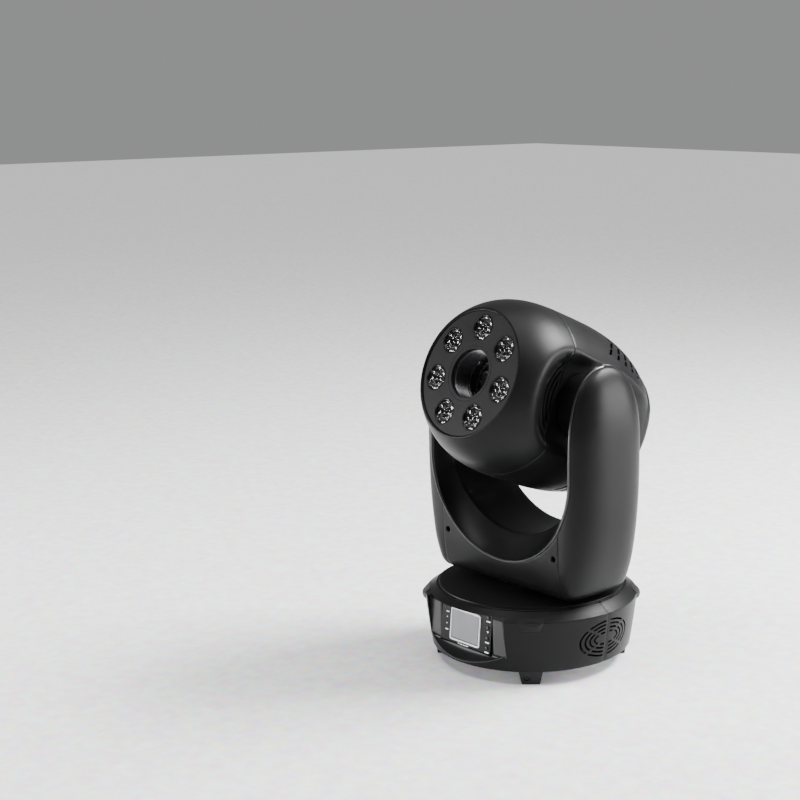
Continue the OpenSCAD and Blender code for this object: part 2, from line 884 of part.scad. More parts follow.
// Lens that bulges on both faces
module lens(r, edge, bulge) {
    R = (r * r + bulge * bulge) / (2 * bulge);
    top = [for (i = [0 : 8]) let (x = r * i / 8) [x, edge + bulge + sqrt(R * R - x * x) - (R - bulge)]];
    rotate_extrude() polygon(concat(top, [for (i = [8 : -1 : 0]) [top[i][0], edge + 2 * bulge - top[i][1]]]));
}

module front_lens() {
    color(GLASS) on_beam() translate([0, 0, 68]) lens(lens_r - 0.1, 3, 6);
}

rod_x = 38;

module focus_carriage() {
    color(BLACK) on_beam() translate([0, 0, 26]) {
        difference() {
            union() {
                cylinder(h = 6, r = 28);
                box_at([-rod_x - 6, -5, 0], [rod_x + 6, 5, 6]);
            }
            translate([0, 0, -eps]) cylinder(h = 10, r = 22);
            for (s = [-1, 1]) translate([s * rod_x, 0, -eps]) cylinder(h = 10, r = 2.5 + fit);
        }
        translate([0, 0, 1]) lens(21.9, 1, 1.5);
    }
}

// Disc with a ring of round windows
module wheel(windows, window_r) {
    difference() {
        union() {
            cylinder(h = 2, r = wheel_r);
            cylinder(h = 6, r = 6);
        }
        translate([0, 0, -eps]) cylinder(h = 10, r = 2.5 + fit);
        for (i = [0 : windows - 1]) rotate(360 * i / windows) translate([0, -wheel_b, -eps])
            cylinder(h = 5, r = window_r);
    }
}

module color_wheel() {
    color(ALLOY) on_beam() translate([0, wheel_b, -8]) wheel(8, 7);
}

module gobo_wheel() {
    color(ALLOY) on_beam() translate([0, -wheel_b, 8]) wheel(8, 6);
}

// Chassis of the head with its wheel shafts, guide rods and the two hollow tilt shafts
module head_chassis() {
    plate_x = 72;
    color(STEEL) on_beam() {
        both_sides() box_at([plate_x, -50, -50], [plate_x + 3, 50, 50]);
        difference() {
            box_at([-plate_x, -50, -24], [plate_x, 50, -21]);
            translate([0, 0, -30]) cylinder(h = 10, r = 16);
        }
        translate([0, wheel_b, -21]) cylinder(h = 17, r = 2.5);
        translate([0, -wheel_b, -21]) cylinder(h = 33, r = 2.5);
        for (s = [-1, 1]) translate([s * rod_x, 0, -21]) cylinder(h = 73, r = 2.5);
    }
    color(STEEL) translate([0, 0, tilt_z]) for (s = [0, 180]) rotate([0, 0, s]) difference() {
        union() {
            translate([75, 0, 0]) along_x() cylinder(h = 4.5, r = 26);
            translate([75, 0, 0]) along_x() cylinder(h = s == 0 ? 64 : 54, r = trunnion_r);
        }
        translate([70, 0, 0]) along_x() cylinder(h = 80, r = 8);
    }
    color(ALLOY) translate([tilt_belt_x, 0, tilt_z]) along_x() pulley(tilt_pulley_r, trunnion_r - 0.1);
}

// Light source on its finned heat sink, with the shaft of the fan behind it
module heat_sink() {
    color(ALLOY) on_beam() {
        box_at([-71.5, -50, -50], [71.5, 50, -46]);
        for (i = [-5 : 5]) box_at([-50, 9 * i - 1, -90], [50, 9 * i + 1, -50]);
        translate([0, 0, -46]) cylinder(h = 6, r = 14);
        translate([0, 0, -96]) cylinder(h = 7, r = 12);
    }
}

module head_fan_rotor() {
    color(BLACK) on_beam() translate([0, 0, -108]) rotor(42, 15, 11, 9);
}

base_shell_front();
base_shell_rear();
base_deck();
bottom_plate();
rubber_feet();
foot_screws();
display_panel();
lcd_bezel();
lcd_screen();
display_board();
button(0);  // button_up
button(1);  // button_down
button(2);  // button_menu
button(3);  // button_enter
connector_panel();
power_inlet();
power_outlet();
dmx_input();
dmx_output();
fuse_holder();
base_frame();
power_supply();
main_board();
base_fan_housing();
base_fan_rotor();
pan_shaft();
pan_pulley();
yoke_base_plate();
arm_plate_left();
arm_plate_right();
pan_bearing();
yoke_cover_front();
yoke_cover_rear();
arm_cover_left();
arm_cover_right();
arm_panel_left();
arm_panel_right();
cover_screws();
tilt_bearings();
pan_motor();
pan_motor_pulley();
pan_belt();
tilt_motor();
tilt_motor_pulley();
tilt_belt();
head_shell_front();
head_shell_rear();
face_plate();
face_ring();
led_cups();
led_lenses();
led_board();
lens_barrel();
front_lens();
focus_carriage();
color_wheel();
gobo_wheel();
head_chassis();
heat_sink();
head_fan_rotor();
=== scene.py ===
import json
import math

import bmesh
import bpy
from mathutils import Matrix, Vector


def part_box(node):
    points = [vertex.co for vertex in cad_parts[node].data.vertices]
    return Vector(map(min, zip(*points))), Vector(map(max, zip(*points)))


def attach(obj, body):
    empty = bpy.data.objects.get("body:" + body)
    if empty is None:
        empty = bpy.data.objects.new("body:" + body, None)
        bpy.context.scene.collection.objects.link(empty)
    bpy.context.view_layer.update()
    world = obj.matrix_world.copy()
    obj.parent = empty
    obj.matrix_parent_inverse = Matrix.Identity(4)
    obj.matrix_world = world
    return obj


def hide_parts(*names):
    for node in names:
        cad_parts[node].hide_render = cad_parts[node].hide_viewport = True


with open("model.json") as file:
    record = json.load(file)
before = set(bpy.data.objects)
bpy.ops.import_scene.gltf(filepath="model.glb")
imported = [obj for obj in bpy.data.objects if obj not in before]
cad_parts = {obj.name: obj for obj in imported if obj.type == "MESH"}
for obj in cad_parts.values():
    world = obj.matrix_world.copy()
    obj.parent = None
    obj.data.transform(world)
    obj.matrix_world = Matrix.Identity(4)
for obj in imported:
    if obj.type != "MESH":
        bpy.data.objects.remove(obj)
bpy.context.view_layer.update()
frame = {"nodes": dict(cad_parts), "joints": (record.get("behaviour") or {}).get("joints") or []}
nodes = frame["nodes"]
joints = {j["name"]: j for j in frame["joints"]}
MM = 0.001


# ---------- sizes, in millimetres, from the frame where a node carries them ----------

def box_mm(node):
    low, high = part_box(node)
    return low / MM, high / MM


arm_low, arm_high = box_mm("arm_cover_right")
deck_high = box_mm("base_deck")[1]

base_r = 140.0  # radius of the base wall at its upper edge
foot_h = box_mm("base_shell_front")[0].z
deck_z = deck_high.z
deck_r = deck_high.x
wall_z = deck_z - 13.8  # upper edge of the base wall
yoke_z0 = arm_low.z
arm_top = arm_high.z
yoke_half = arm_high.x
seam_x = box_mm("yoke_cover_front")[1].x  # seam between centre covers and arms
arm_in = 118.0  # inner face of the arms
trough_r, trough_z = 130.0, 298.0  # round trough between the arms
rim_r, rim_z = 126.0, 265.0  # its front rim
rear_rim_x = 119.5  # reach of its rear rim on the arms
tilt_z = joints["tilt"]["pos_m"][2] / MM
beam_y, beam_z = joints["focus_slide"]["axis"][1:]
head_r = 113.4  # radius of the barrel at its middle
head_front, head_back = 118.0, 134.8  # reach from the tilt axis to each end
seam_a = 44.0  # seam between the head shells, along the beam
face_r = 83.4  # opening for the face in the front shell


# ---------- materials ----------

def set_inputs(node, **values):
    for key, value in values.items():
        node.inputs[key.replace("_", " ")].default_value = value


def multiply(tree_nodes, factor):
    node = tree_nodes.new("ShaderNodeMix")
    node.data_type = "RGBA"
    node.blend_type = "MULTIPLY"
    set_inputs(node, Factor=factor)
    return node


def plastic(name, colour, rough=0.42, grain=1800.0, bump=0.12, vary=0.25, uneven=0.06, coat=0.0, metal=0.0,
            specular=0.25):
    """Moulded surface: fine spark-eroded grain, slightly uneven colour and gloss."""
    m = bpy.data.materials.new(name)
    m.use_nodes = True
    t = m.node_tree
    n, link = t.nodes, t.links
    shader = n["Principled BSDF"]
    set_inputs(shader, Metallic=metal, Specular_IOR_Level=specular, Coat_Weight=coat, Coat_Roughness=0.25)
    where = n.new("ShaderNodeTexCoord")
    fine = n.new("ShaderNodeTexNoise")
    set_inputs(fine, Scale=grain, Detail=3.0)
    broad = n.new("ShaderNodeTexNoise")
    set_inputs(broad, Scale=22.0, Detail=4.0)
    for texture in (fine, broad):
        link.new(where.outputs["Object"], texture.inputs["Vector"])
    tint = n.new("ShaderNodeValToRGB")
    tint.color_ramp.elements[0].position = 0.3
    tint.color_ramp.elements[1].position = 0.7
    tint.color_ramp.elements[0].color = [c * (1 - vary) for c in colour] + [1]
    tint.color_ramp.elements[1].color = [c * (1 + vary) for c in colour] + [1]
    link.new(broad.outputs["Fac"], tint.inputs["Fac"])
    speck = multiply(n, 0.5)
    link.new(tint.outputs["Color"], speck.inputs["A"])
    link.new(fine.outputs["Color"], speck.inputs["B"])
    brighten = multiply(n, 1.0)
    set_inputs(brighten, B=(1.3, 1.3, 1.3, 1))
    link.new(speck.outputs["Result"], brighten.inputs["A"])
    link.new(brighten.outputs["Result"], shader.inputs["Base Color"])
    gloss = n.new("ShaderNodeMapRange")
    set_inputs(gloss, To_Min=rough - uneven, To_Max=rough + uneven)
    link.new(broad.outputs["Fac"], gloss.inputs["Value"])
    link.new(gloss.outputs["Result"], shader.inputs["Roughness"])
    relief = n.new("ShaderNodeBump")
    set_inputs(relief, Strength=bump, Distance=0.0004)
    link.new(fine.outputs["Fac"], relief.inputs["Height"])
    link.new(relief.outputs["Normal"], shader.inputs["Normal"])
    return m


def glass(name, colour, rough=0.03, ior=1.49):
    m = plastic(name, colour, rough, grain=300, bump=0.01, vary=0.02, uneven=0.01)
    set_inputs(m.node_tree.nodes["Principled BSDF"], Transmission_Weight=1.0, IOR=ior)
    return m


def brushed(name, colour, rough=0.32, stretch=(40, 40, 2200)):
    """Metal with fine parallel marks along one direction."""
    m = plastic(name, colour, rough, grain=1.0, bump=0.08, vary=0.08, uneven=0.08, metal=1.0)
    n, link = m.node_tree.nodes, m.node_tree.links
    where = n["Texture Coordinate"]
    scale = n.new("ShaderNodeMapping")
    set_inputs(scale, Scale=stretch)
    link.new(where.outputs["Object"], scale.inputs["Vector"])
    link.new(scale.outputs["Vector"], n["Noise Texture"].inputs["Vector"])
    return m


MATS = {
    "housing": plastic("satin_black_housing", (0.005, 0.005, 0.0054), rough=0.38, grain=1000,
                       bump=0.3, specular=0.12),
    "edge": plastic("polished_black_edge", (0.008, 0.008, 0.0086), rough=0.3, grain=1000, bump=0.05,
                    specular=0.5),
    "inner": plastic("matt_black_inner", (0.004, 0.004, 0.0045), rough=0.45, grain=1200),
    "cup": plastic("led_cup_black", (0.006, 0.006, 0.0065), rough=0.22, grain=1500, bump=0.04,
                   specular=0.6),
    "barrel": plastic("anodised_barrel", (0.05, 0.05, 0.053), rough=0.28, grain=1500, bump=0.05,
                      metal=0.6),
    "deck": plastic("smooth_black_deck", (0.004, 0.004, 0.0042), rough=0.42, grain=1400, bump=0.12,
                    specular=0.1),
    "face": plastic("face_grey_black", (0.009, 0.0088, 0.0093), rough=0.46, grain=1000, bump=0.25,
                    specular=0.11),
    "rubber": plastic("foot_rubber", (0.014, 0.014, 0.014), rough=0.7, grain=900, bump=0.3),
    "panel": plastic("display_film", (0.004, 0.004, 0.0045), rough=0.3, grain=2600, bump=0.04,
                     specular=0.12),
    "white": plastic("printed_white", (0.9, 0.9, 0.91), rough=0.4, vary=0.04, bump=0.03),
    # paler than the housing: painted light, for the light the bay's cheeks catch from the front-left
    "cheek": plastic("bay_cheek_painted_light", (0.034, 0.0335, 0.0345), rough=0.42, grain=1000,
                     bump=0.3, specular=0.3),
    "screen": plastic("unlit_screen", (0.14, 0.14, 0.158), rough=0.3, grain=3500, bump=0.02, vary=0.05,
                      coat=0.6),
    "button": plastic("button_black", (0.014, 0.014, 0.014), rough=0.4),
    "chip": plastic("led_chip_yellow", (0.75, 0.6, 0.22), rough=0.35, grain=900, vary=0.1),
    "ceramic": plastic("white_ceramic", (0.8, 0.8, 0.78), rough=0.35, vary=0.03),
    "screw": brushed("black_oxide_screw", (0.025, 0.025, 0.027), rough=0.4),
    "steel": brushed("zinc_steel", (0.5, 0.5, 0.52)),
    "alloy": brushed("milled_aluminium", (0.66, 0.67, 0.68)),
    "nickel": brushed("nickel_connector", (0.42, 0.42, 0.43), rough=0.25),
    "blue": plastic("inlet_blue", (0.02, 0.09, 0.4), rough=0.4),
    "grey": plastic("outlet_grey", (0.35, 0.36, 0.38), rough=0.4, vary=0.08),
    "board": plastic("solder_mask_green", (0.01, 0.1, 0.035), rough=0.35, grain=600, coat=0.3),
    "motor": plastic("motor_black", (0.03, 0.03, 0.03), rough=0.4),
    "belt": plastic("belt_rubber", (0.015, 0.015, 0.015), rough=0.65, grain=900, bump=0.3),
    "glass": glass("clear_glass", (0.93, 0.95, 0.97)),
    # dark tint: painted shade, standing in for the dark inside of the LED cups seen through clear optics
    "optic": glass("optic_tinted_painted_shade", (0.2, 0.203, 0.21), rough=0.02, ior=1.47),
    "mirror": brushed("reflector_chrome", (0.75, 0.76, 0.78), rough=0.12),
}

BY_NODE = {
    "inner": ["led_board", "display_board", "base_fan_housing", "base_fan_rotor", "head_fan_rotor",
              "focus_carriage", "lens_barrel"],
    "deck": ["base_deck"],
    "rubber": ["rubber_feet"],
    "belt": ["pan_belt", "tilt_belt"],
    "screw": ["foot_screws", "cover_screws", "yoke_base_plate", "pan_bearing", "pan_shaft"],
    "panel": ["display_panel", "connector_panel", "fuse_holder"],
    "button": ["button_up", "button_down", "button_menu", "button_enter"],
    "white": ["lcd_bezel"],
    "screen": ["lcd_screen"],
    "board": ["main_board"],
    "blue": ["power_inlet"],
    "grey": ["power_outlet"],
    "nickel": ["dmx_input", "dmx_output", "tilt_bearings"],
    "steel": ["bottom_plate", "base_frame", "arm_plate_left", "arm_plate_right",
              "head_chassis"],
    "alloy": ["power_supply", "pan_pulley", "pan_motor_pulley", "tilt_motor_pulley", "heat_sink",
              "color_wheel", "gobo_wheel"],
    "motor": ["pan_motor", "tilt_motor"],
    "glass": ["front_lens"],
    "optic": ["led_lenses"],
    "face": ["face_plate", "face_ring"],
}
for key, names in BY_NODE.items():
    for name in names:
        nodes[name].data.materials.clear()
        nodes[name].data.materials.append(MATS[key])
for o in nodes.values():
    if not o.data.materials or o.data.materials[0].name not in [m.name for m in MATS.values()]:
        o.data.materials.clear()
        o.data.materials.append(MATS["housing"])


# ---------- mesh helpers; points are in millimetres ----------

def new_mesh(name, points, faces):
    mesh = bpy.data.meshes.new(name)
    mesh.from_pydata([Vector(p) * MM for p in points], [], faces)
    return mesh


def new_object(name, data):
    o = bpy.data.objects.new(name, data)
    bpy.context.scene.collection.objects.link(o)
    return o


def face_outwards(mesh, merge=False):
    """Turns all faces of a closed mesh outwards, after merging points that share a place where asked."""
    bm = bmesh.new()
    bm.from_mesh(mesh)
    if merge:
        bmesh.ops.remove_doubles(bm, verts=bm.verts, dist=1e-6)
    bmesh.ops.recalc_face_normals(bm, faces=bm.faces)
    bm.to_mesh(mesh)
    bm.free()


def piece(name, points, faces, body, stands_for, slot, material, angle=35):
    mesh = new_mesh(name, points, faces)
    face_outwards(mesh, merge=True)
    return dress(new_object(name, mesh), body, stands_for, material, angle)


def on_beam(x, b, a):
    """Point at x across, b up across the beam and a along it."""
    up = (-beam_y, beam_z)
    return (x, beam_y * a + up[1] * b, tilt_z + beam_z * a + up[0] * b)


def smooth_min(p, q, k):
    h = max(k - abs(p - q), 0) / k
    return min(p, q) - h * h * k / 4


def soft_ramp(d, k):
    """0 below d = 0 and d above it, with a rounded turn."""
    if d > 8 * k:
        return d
    return k * math.log1p(math.exp(max(-30, d / k)))


def apply(o, kind, **settings):
    """Adds a modifier with these settings and applies it."""
    mod = o.modifiers.new(kind, kind)
    for key, value in settings.items():
        setattr(mod, key, value)
    bpy.context.view_layer.objects.active = o
    with bpy.context.temp_override(object=o, active_object=o, selected_objects=[o]):
        bpy.ops.object.modifier_apply(modifier=mod.name)


def cutter(points, faces):
    mesh = new_mesh("cutter", points, faces)
    face_outwards(mesh)
    return new_object("cutter", mesh)


def bar_faces(n):
    """Faces of a closed bar of n stretches, with four points at each of its n + 1 sections."""
    faces = []
    for k in range(0, 4 * n, 4):
        faces += [(k, k + 1, k + 5, k + 4), (k + 2, k + 6, k + 7, k + 3), (k, k + 4, k + 6, k + 2),
                  (k + 1, k + 3, k + 7, k + 5)]
    return faces + [(0, 2, 3, 1), (4 * n, 4 * n + 1, 4 * n + 3, 4 * n + 2)]


def cut(o, tools, operation="DIFFERENCE"):
    """Cuts all the tools, which don't touch each other, out of the piece in one go."""
    whole = bmesh.new()
    for tool in tools:
        whole.from_mesh(tool.data)
        bpy.data.objects.remove(tool)
    mesh = bpy.data.meshes.new("cutter")
    whole.to_mesh(mesh)
    whole.free()
    tool = new_object("cutter", mesh)
    apply(o, "BOOLEAN", object=tool, operation=operation, solver="EXACT")
    bpy.data.objects.remove(tool)


def closed_grid(rows, columns, wrap_rows=True, wrap_columns=True):
    """Faces of a grid of rows x columns points."""
    faces = []
    for i in range(rows if wrap_rows else rows - 1):
        for j in range(columns if wrap_columns else columns - 1):
            i2, j2 = (i + 1) % rows, (j + 1) % columns
            faces.append((i * columns + j, i * columns + j2, i2 * columns + j2, i2 * columns + j))
    return faces


def sheet_piece(name, rows, body, stands_for, material, thick=2.4, soft=0.5, extras=(), tools=(),
                angle=35, keep=None):
    """Moulded cover from rows of surface points: its border is rolled in, and it gets a thickness."""
    count = len(rows[0])
    points = [p for row in rows for p in row]
    faces = closed_grid(len(rows), count, False, False)
    if keep:
        faces = [f for f in faces if keep([points[i] for i in f])]
    mesh = new_mesh(name, points, faces)
    bm = bmesh.new()
    bm.from_mesh(mesh)
    bmesh.ops.remove_doubles(bm, verts=bm.verts, dist=1e-6)
    bmesh.ops.recalc_face_normals(bm, faces=bm.faces)
    bm.normal_update()
    if outward(bm) < 0:
        bmesh.ops.reverse_faces(bm, faces=bm.faces)
        bm.normal_update()
    edge = {v for e in bm.edges if e.is_boundary for v in e.verts}
    moves = [(v, v.normal * soft * MM) for v in edge]
    for v, move in moves:
        v.co -= move
    bm.to_mesh(mesh)
    bm.free()
    o = new_object(name, mesh)
    apply(o, "SOLIDIFY", thickness=thick * MM, offset=-1.0)
    bm = bmesh.new()
    bm.from_mesh(o.data)
    for points, faces in extras:
        bm.from_mesh(new_mesh("part", points, faces))
    bmesh.ops.recalc_face_normals(bm, faces=bm.faces)
    bm.to_mesh(o.data)
    bm.free()
    if tools:
        cut(o, tools)
    return dress(o, body, stands_for, material, angle)


def outward(bm):
    """Positive when the faces of an open sheet mostly face away from the middle of the object."""
    total = 0
    for f in bm.faces:
        c = f.calc_center_median()
        total += f.calc_area() * f.normal.dot(Vector((c.x * 0.2, c.y, c.z - 0.24)))
    return total


def dress(o, body, stands_for, material, angle=35):
    """Material, smooth shading, body and the CAD nodes that the piece stands for."""
    o.data.materials.clear()
    o.data.materials.append(MATS[material])
    o.data.shade_smooth()
    o.data.set_sharp_from_angle(angle=math.radians(angle))
    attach(o, body)
    if stands_for:
        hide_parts(*stands_for)
    return o


def tube_along(path, radius, sides=10):
    """Points and faces of a round bead that follows an open path."""
    points, faces = [], []
    for i, p in enumerate(path):
        before, after = Vector(path[max(i - 1, 0)]), Vector(path[min(i + 1, len(path) - 1)])
        along = (after - before).normalized()
        side = along.cross(Vector((0, 1, 0))).normalized()
        up = side.cross(along)
        for k in range(sides):
            q = 2 * math.pi * k / sides
            points.append(tuple(Vector(p) + (side * math.cos(q) + up * math.sin(q)) * radius))
    faces = closed_grid(len(path), sides, False, True)
    faces.append(tuple(range(sides)))
    faces.append(tuple(len(points) - sides + k for k in reversed(range(sides))))
    return points, faces


def revolve(outline, place, count=96):
    """Points and faces of a closed outline of (radius, along) pairs turned about an axis."""
    points = []
    for r, a in outline:
        for j in range(count):
            q = 2 * math.pi * j / count
            points.append(place(r * math.sin(q), r * math.cos(q), a))
    return points, closed_grid(len(outline), count)


def join(parts):
    """One list of points and one of faces from several parts."""
    points, faces = [], []
    for more, sides in parts:
        faces += [tuple(i + len(points) for i in f) for f in sides]
        points += more
    return points, faces


def step(t):
    t = min(1, max(0, t))
    return t * t * (3 - 2 * t)


def spread(low, high, size):
    """Values from low to high, about size apart."""
    n = max(1, round(abs(high - low) / size))
    return [low + (high - low) * i / n for i in range(n + 1)]


# ---------- base ----------

foot_r = base_r - 8.8  # radius of the wall at the underside
bay_x, bay_y, bay_low, bay_top = 70.0, 114.0, 37.0, 89.6  # half width, depth and heights of the bay
window_x = 46.5  # half width of the display panel's opening
rear_y, rear_x = 106.0, 76.2  # flat for the connectors at the back
vent_z = 53.0
vent_slot, vent_bridge, vent_bar = 2.6, 1.6, 4  # slot width and half widths of what breaks the ovals
vent_slope = math.radians(28)  # of the two bridges
bead_r = 0.8  # of the fine edge beads
scoop_r, scoop_z = 150, 172  # arc of the scoop under the bay
outer_column, middle_angle = 88, 40.5  # last column of fixed x, and the angle it draws in to


def wall_r(z):
    """Radius of the base wall at height z."""
    return foot_r + (base_r - foot_r) * min(1, max(0, (z - 20) / 64)) ** 0.85


def cone_r(z):
    """Radius of the sloping rim at height z."""
    return base_r - (z - wall_z) * (base_r - deck_r - 0.3) / (deck_z - 2 - wall_z)


def base_levels(fine):
    """Radius and height of each row of the base's outside, from the underside up to the deck."""
    rows = [(foot_r - 1.5, foot_h + 0.1), (foot_r - 0.6, foot_h + 0.5), (foot_r - 0.1, foot_h + 1.3)]
    rows += [(wall_r(z), z) for z in spread(20.5, 84.2, fine)]
    rows += [(base_r, 85), (base_r + 0.1, 85.9), (base_r - 0.2, 86.7), (base_r - 0.9, 87.4)]
    rows += [(cone_r(z), z) for z in spread(88.2, deck_z - 3, 1.2)]
    top = deck_r + 0.3
    return rows + [(top + 1, deck_z - 2.5), (top + 0.3, deck_z - 2.1), (top + 0.05, deck_z - 2.3),
                   (top, deck_z - 3.1)]


def scoop_lip(x):
    """Height of the scoop's lower edge."""
    return scoop_z - math.sqrt(scoop_r ** 2 - x * x)


def bay_limit(x, z):
    """How far forward the front may reach at this place, where the display bay and the scoop are cut in."""
    edge = max(abs(x) - bay_x, bay_low - z, 8 * (z - bay_top))
    limit = bay_y + 2.5 * (bay_x - min(bay_x, max(abs(x), window_x))) / (bay_x - window_x)
    limit += 5 * soft_ramp(edge, 0.18)
    if abs(x) < window_x + 3:
        inner = max(abs(x) - window_x, 36 - z, 8 * (z - bay_top - 0.3))
        limit = min(limit, 108 + 6 * max(0, inner))
    lip = scoop_lip(x)
    if z < bay_low + 0.6 and lip < bay_low and abs(x) < bay_x:
        t = min(1, max(0, (bay_low - z) / (bay_low - lip)))
        wall = math.sqrt(wall_r(z) ** 2 - x * x)
        limit = min(limit, 118 + (wall + 0.6 - 118) * t ** 2.6) if z > lip - 0.4 else wall
    return limit


def front_columns():
    xs = spread(-outer_column, -73, 2.5) + spread(-71.5, -68.5, 0.5) + spread(-67, -49, 2)
    xs += spread(-47.6, -45.4, 0.4) + spread(-43, 43, 2)
    xs += spread(45.4, 47.6, 0.4) + spread(49, 67, 2) + spread(68.5, 71.5, 0.5) + \
        spread(73, outer_column, 2.5)
    return xs


def side_angles():
    """Angles from the front or rear round to the seam at the side."""
    return [math.radians(q) for q in spread(42, 89.93, 1.5)]


def column_x(x, r, fixed):
    """Sideways place of a column; the outer ones draw in with the radius, to meet those of fixed angle."""
    if abs(x) <= fixed:
        return x
    reach = r * math.sin(math.radians(middle_angle)) - fixed
    return math.copysign(fixed + (abs(x) - fixed) / (outer_column - fixed) * reach, x)


def base_wall(front):
    """Rows of points over half of the base: columns of fixed x, with fixed angles beside them."""
    sign = -1 if front else 1
    rows = []
    for r, z in base_levels(0.8 if front else 1.6):
        right = [(r * math.sin(q), sign * r * math.cos(q), z) for q in side_angles()]
        left = [(-x, y, z) for x, y, z in reversed(right)]
        row = []
        for column in (front_columns() if front else rear_columns()):
            x = column_x(column, r, 73 if front else 78)
            y = math.sqrt(r * r - x * x)
            limit = bay_limit(x, z) if front else rear_limit(x, z)
            row.append((x, sign * smooth_min(y, limit, 0.9), z))
        rows.append(left + row + right)
    return rows


def rear_columns():
    return spread(-outer_column, -79, 3) + spread(-77.6, -74.8, 0.4) + spread(-72, 72, 4) + \
        spread(74.8, 77.6, 0.4) + spread(79, outer_column, 3)


def rear_limit(x, z):
    edge = max(abs(x) - rear_x, 30 - z, z - 82)
    return rear_y - 0.3 + 5 * soft_ramp(edge, 0.18)


def lug_part(turn):
    """Tab that carries the sloping rim out over a foot."""
    points = []
    for rho, half in ((134, 17), (140, 16), (144, 8)):
        z = wall_z - (rho - base_r) * 0.752 - 0.25
        points += [(rho, -half, z), (rho, half, z)]
    for rho, half, low in ((134, 13, 76), (139, 11.5, 76), (142.6, 7, 77.5)):
        points += [(rho, -half, low), (rho, half, low)]
    faces = [(0, 1, 3, 2), (2, 3, 5, 4), (6, 8, 9, 7), (8, 10, 11, 9), (0, 2, 8, 6), (2, 4, 10, 8),
             (1, 7, 9, 3), (3, 9, 11, 5), (4, 5, 11, 10), (0, 6, 7, 1)]
    c, n = math.cos(turn), math.sin(turn)
    return [(x * c - y * n, x * n + y * c, z) for x, y, z in points], faces


def vent_cutters(front):
    """Oval slots round the middle of each side, broken by a centre bar and two bridges."""
    tools = []
    rise, run_in = math.sin(vent_slope), math.cos(vent_slope)
    for side in (-1, 1):
        for i in range(4):
            wide, high = 43 - 7 * i, 25 - 5.2 * i
            run = []
            for k in range(721):
                q = math.pi * (k / 360) + (math.pi / 2 if front else -math.pi / 2)
                y, z = wide * math.cos(q), high * math.sin(q)
                bridge = min(abs(y * rise - z * run_in), abs(y * rise + z * run_in))
                on_half = y < -vent_bar if front else y > vent_bar
                if on_half and bridge > vent_bridge:
                    run.append((q, y, z))
                elif run:
                    tools.append(slot_cutter(side, wide, high, run))
                    run = []
    return tools


def slot_cutter(side, wide, high, run):
    """Prism through the wall along one curved slot."""
    picks = [run[round(k * (len(run) - 1) / 14)] for k in range(15)]
    points = []
    for q, y, z in picks:
        for x in (side * 110, side * 146):
            points.append((x, y, vent_z + z))
            points.append((x, (wide - vent_slot) * math.cos(q), vent_z + (high - vent_slot) * math.sin(q)))
    return cutter(points, bar_faces(len(picks) - 1))


def beside_window(corners):
    """True for a face of the front wall that isn't over the display panel's opening."""
    x = sum(abs(p[0]) for p in corners) / 4
    z = sum(p[2] for p in corners) / 4
    y = sum(p[1] for p in corners) / 4
    return not (x < window_x - 2.5 and 39 < z < 85 and y < 0)


def base_shells():
    for front, word in ((True, "front"), (False, "rear")):
        lugs = [lug_part(math.radians(q)) for q in ((-45, -135) if front else (45, 135))]
        sheet_piece(f"base_{word}_shell", base_wall(front), "base", [f"base_shell_{word}"],
                    "housing", thick=2.6, soft=0.35, extras=lugs, tools=vent_cutters(front),
                    keep=beside_window if front else None)


def bay_beads():
    """Fine bright edges down the bay's sides, along its sill and along the scoop."""
    beads = []
    for side in (-1, 1):
        upright = [(side * (bay_x + 0.2), 0.3 - math.sqrt(wall_r(z) ** 2 - bay_x ** 2), z)
                   for z in spread(bay_low, 86, 4)]
        sill = [(side * x, -bay_limit(x, bay_low + 1) - 0.1, bay_low)
                for x in spread(window_x + 1.5, bay_x - 0.3, 3)]
        beads += [tube_along(upright, bead_r), tube_along(sill, bead_r)]
    lip = []
    for x in spread(-bay_x + 2, bay_x - 2, 3):
        z = scoop_lip(x)
        lip.append((x, 0.2 - math.sqrt(wall_r(z) ** 2 - x * x), z))
    piece("bay_edge_beads", *join(beads + [tube_along(lip, bead_r)]), "base", [], "housing_black", "edge")


def cheek_plates():
    """Textured plates between the display panel's opening and the sides of the bay, paler than the housing:
    their paler tone is painted light.
    """
    plates = []
    xs, zs = spread(window_x + 1.2, bay_x - 1.0, 2.5), spread(bay_low + 1.0, 83.5, 4)
    for side in (-1, 1):
        grid = [[(side * x, z) for x in xs] for z in zs]
        points = [(x, out - bay_limit(x, z), z) for out in (0.8, -0.35) for row in grid for x, z in row]
        m, n = len(zs), len(xs)
        faces = closed_grid(m, n, False, False)
        faces += [tuple(i + m * n for i in reversed(f)) for f in faces]
        rim = list(range(n)) + [n * k - 1 for k in range(2, m + 1)] + \
            list(range(m * n - 2, (m - 1) * n - 1, -1)) + [n * k for k in range(m - 2, 0, -1)]
        faces += [(i, rim[(k + 1) % len(rim)], rim[(k + 1) % len(rim)] + m * n, i + m * n)
                  for k, i in enumerate(rim)]
        plates.append((points, faces))
    # the plates carry the paler black, which is painted light on the cheeks
    piece("bay_cheek_plates", *join(plates), "base", [], "housing_black", "cheek")


def deck_disc():
    deck_low = deck_z - 3.1
    outline = [(36, deck_low), (121.3, deck_low), (121.9, deck_low + 0.6), (121.9, deck_z - 1.0),
               (121.5, deck_z - 0.35), (120.6, deck_z), (119.4, deck_z), (119.0, deck_z - 0.4),
               (118.6, deck_z), (60, deck_z), (38, deck_z), (37.2, deck_z - 0.3), (36, deck_z - 1.2)]
    turned = revolve(outline, lambda u, v, a: (u, v, a), 180)
    piece("deck_disc", *turned, "base", ["base_deck"], "deck_black", "deck")


base_shells()
bay_beads()
cheek_plates()
deck_disc()

# ---------- display ----------

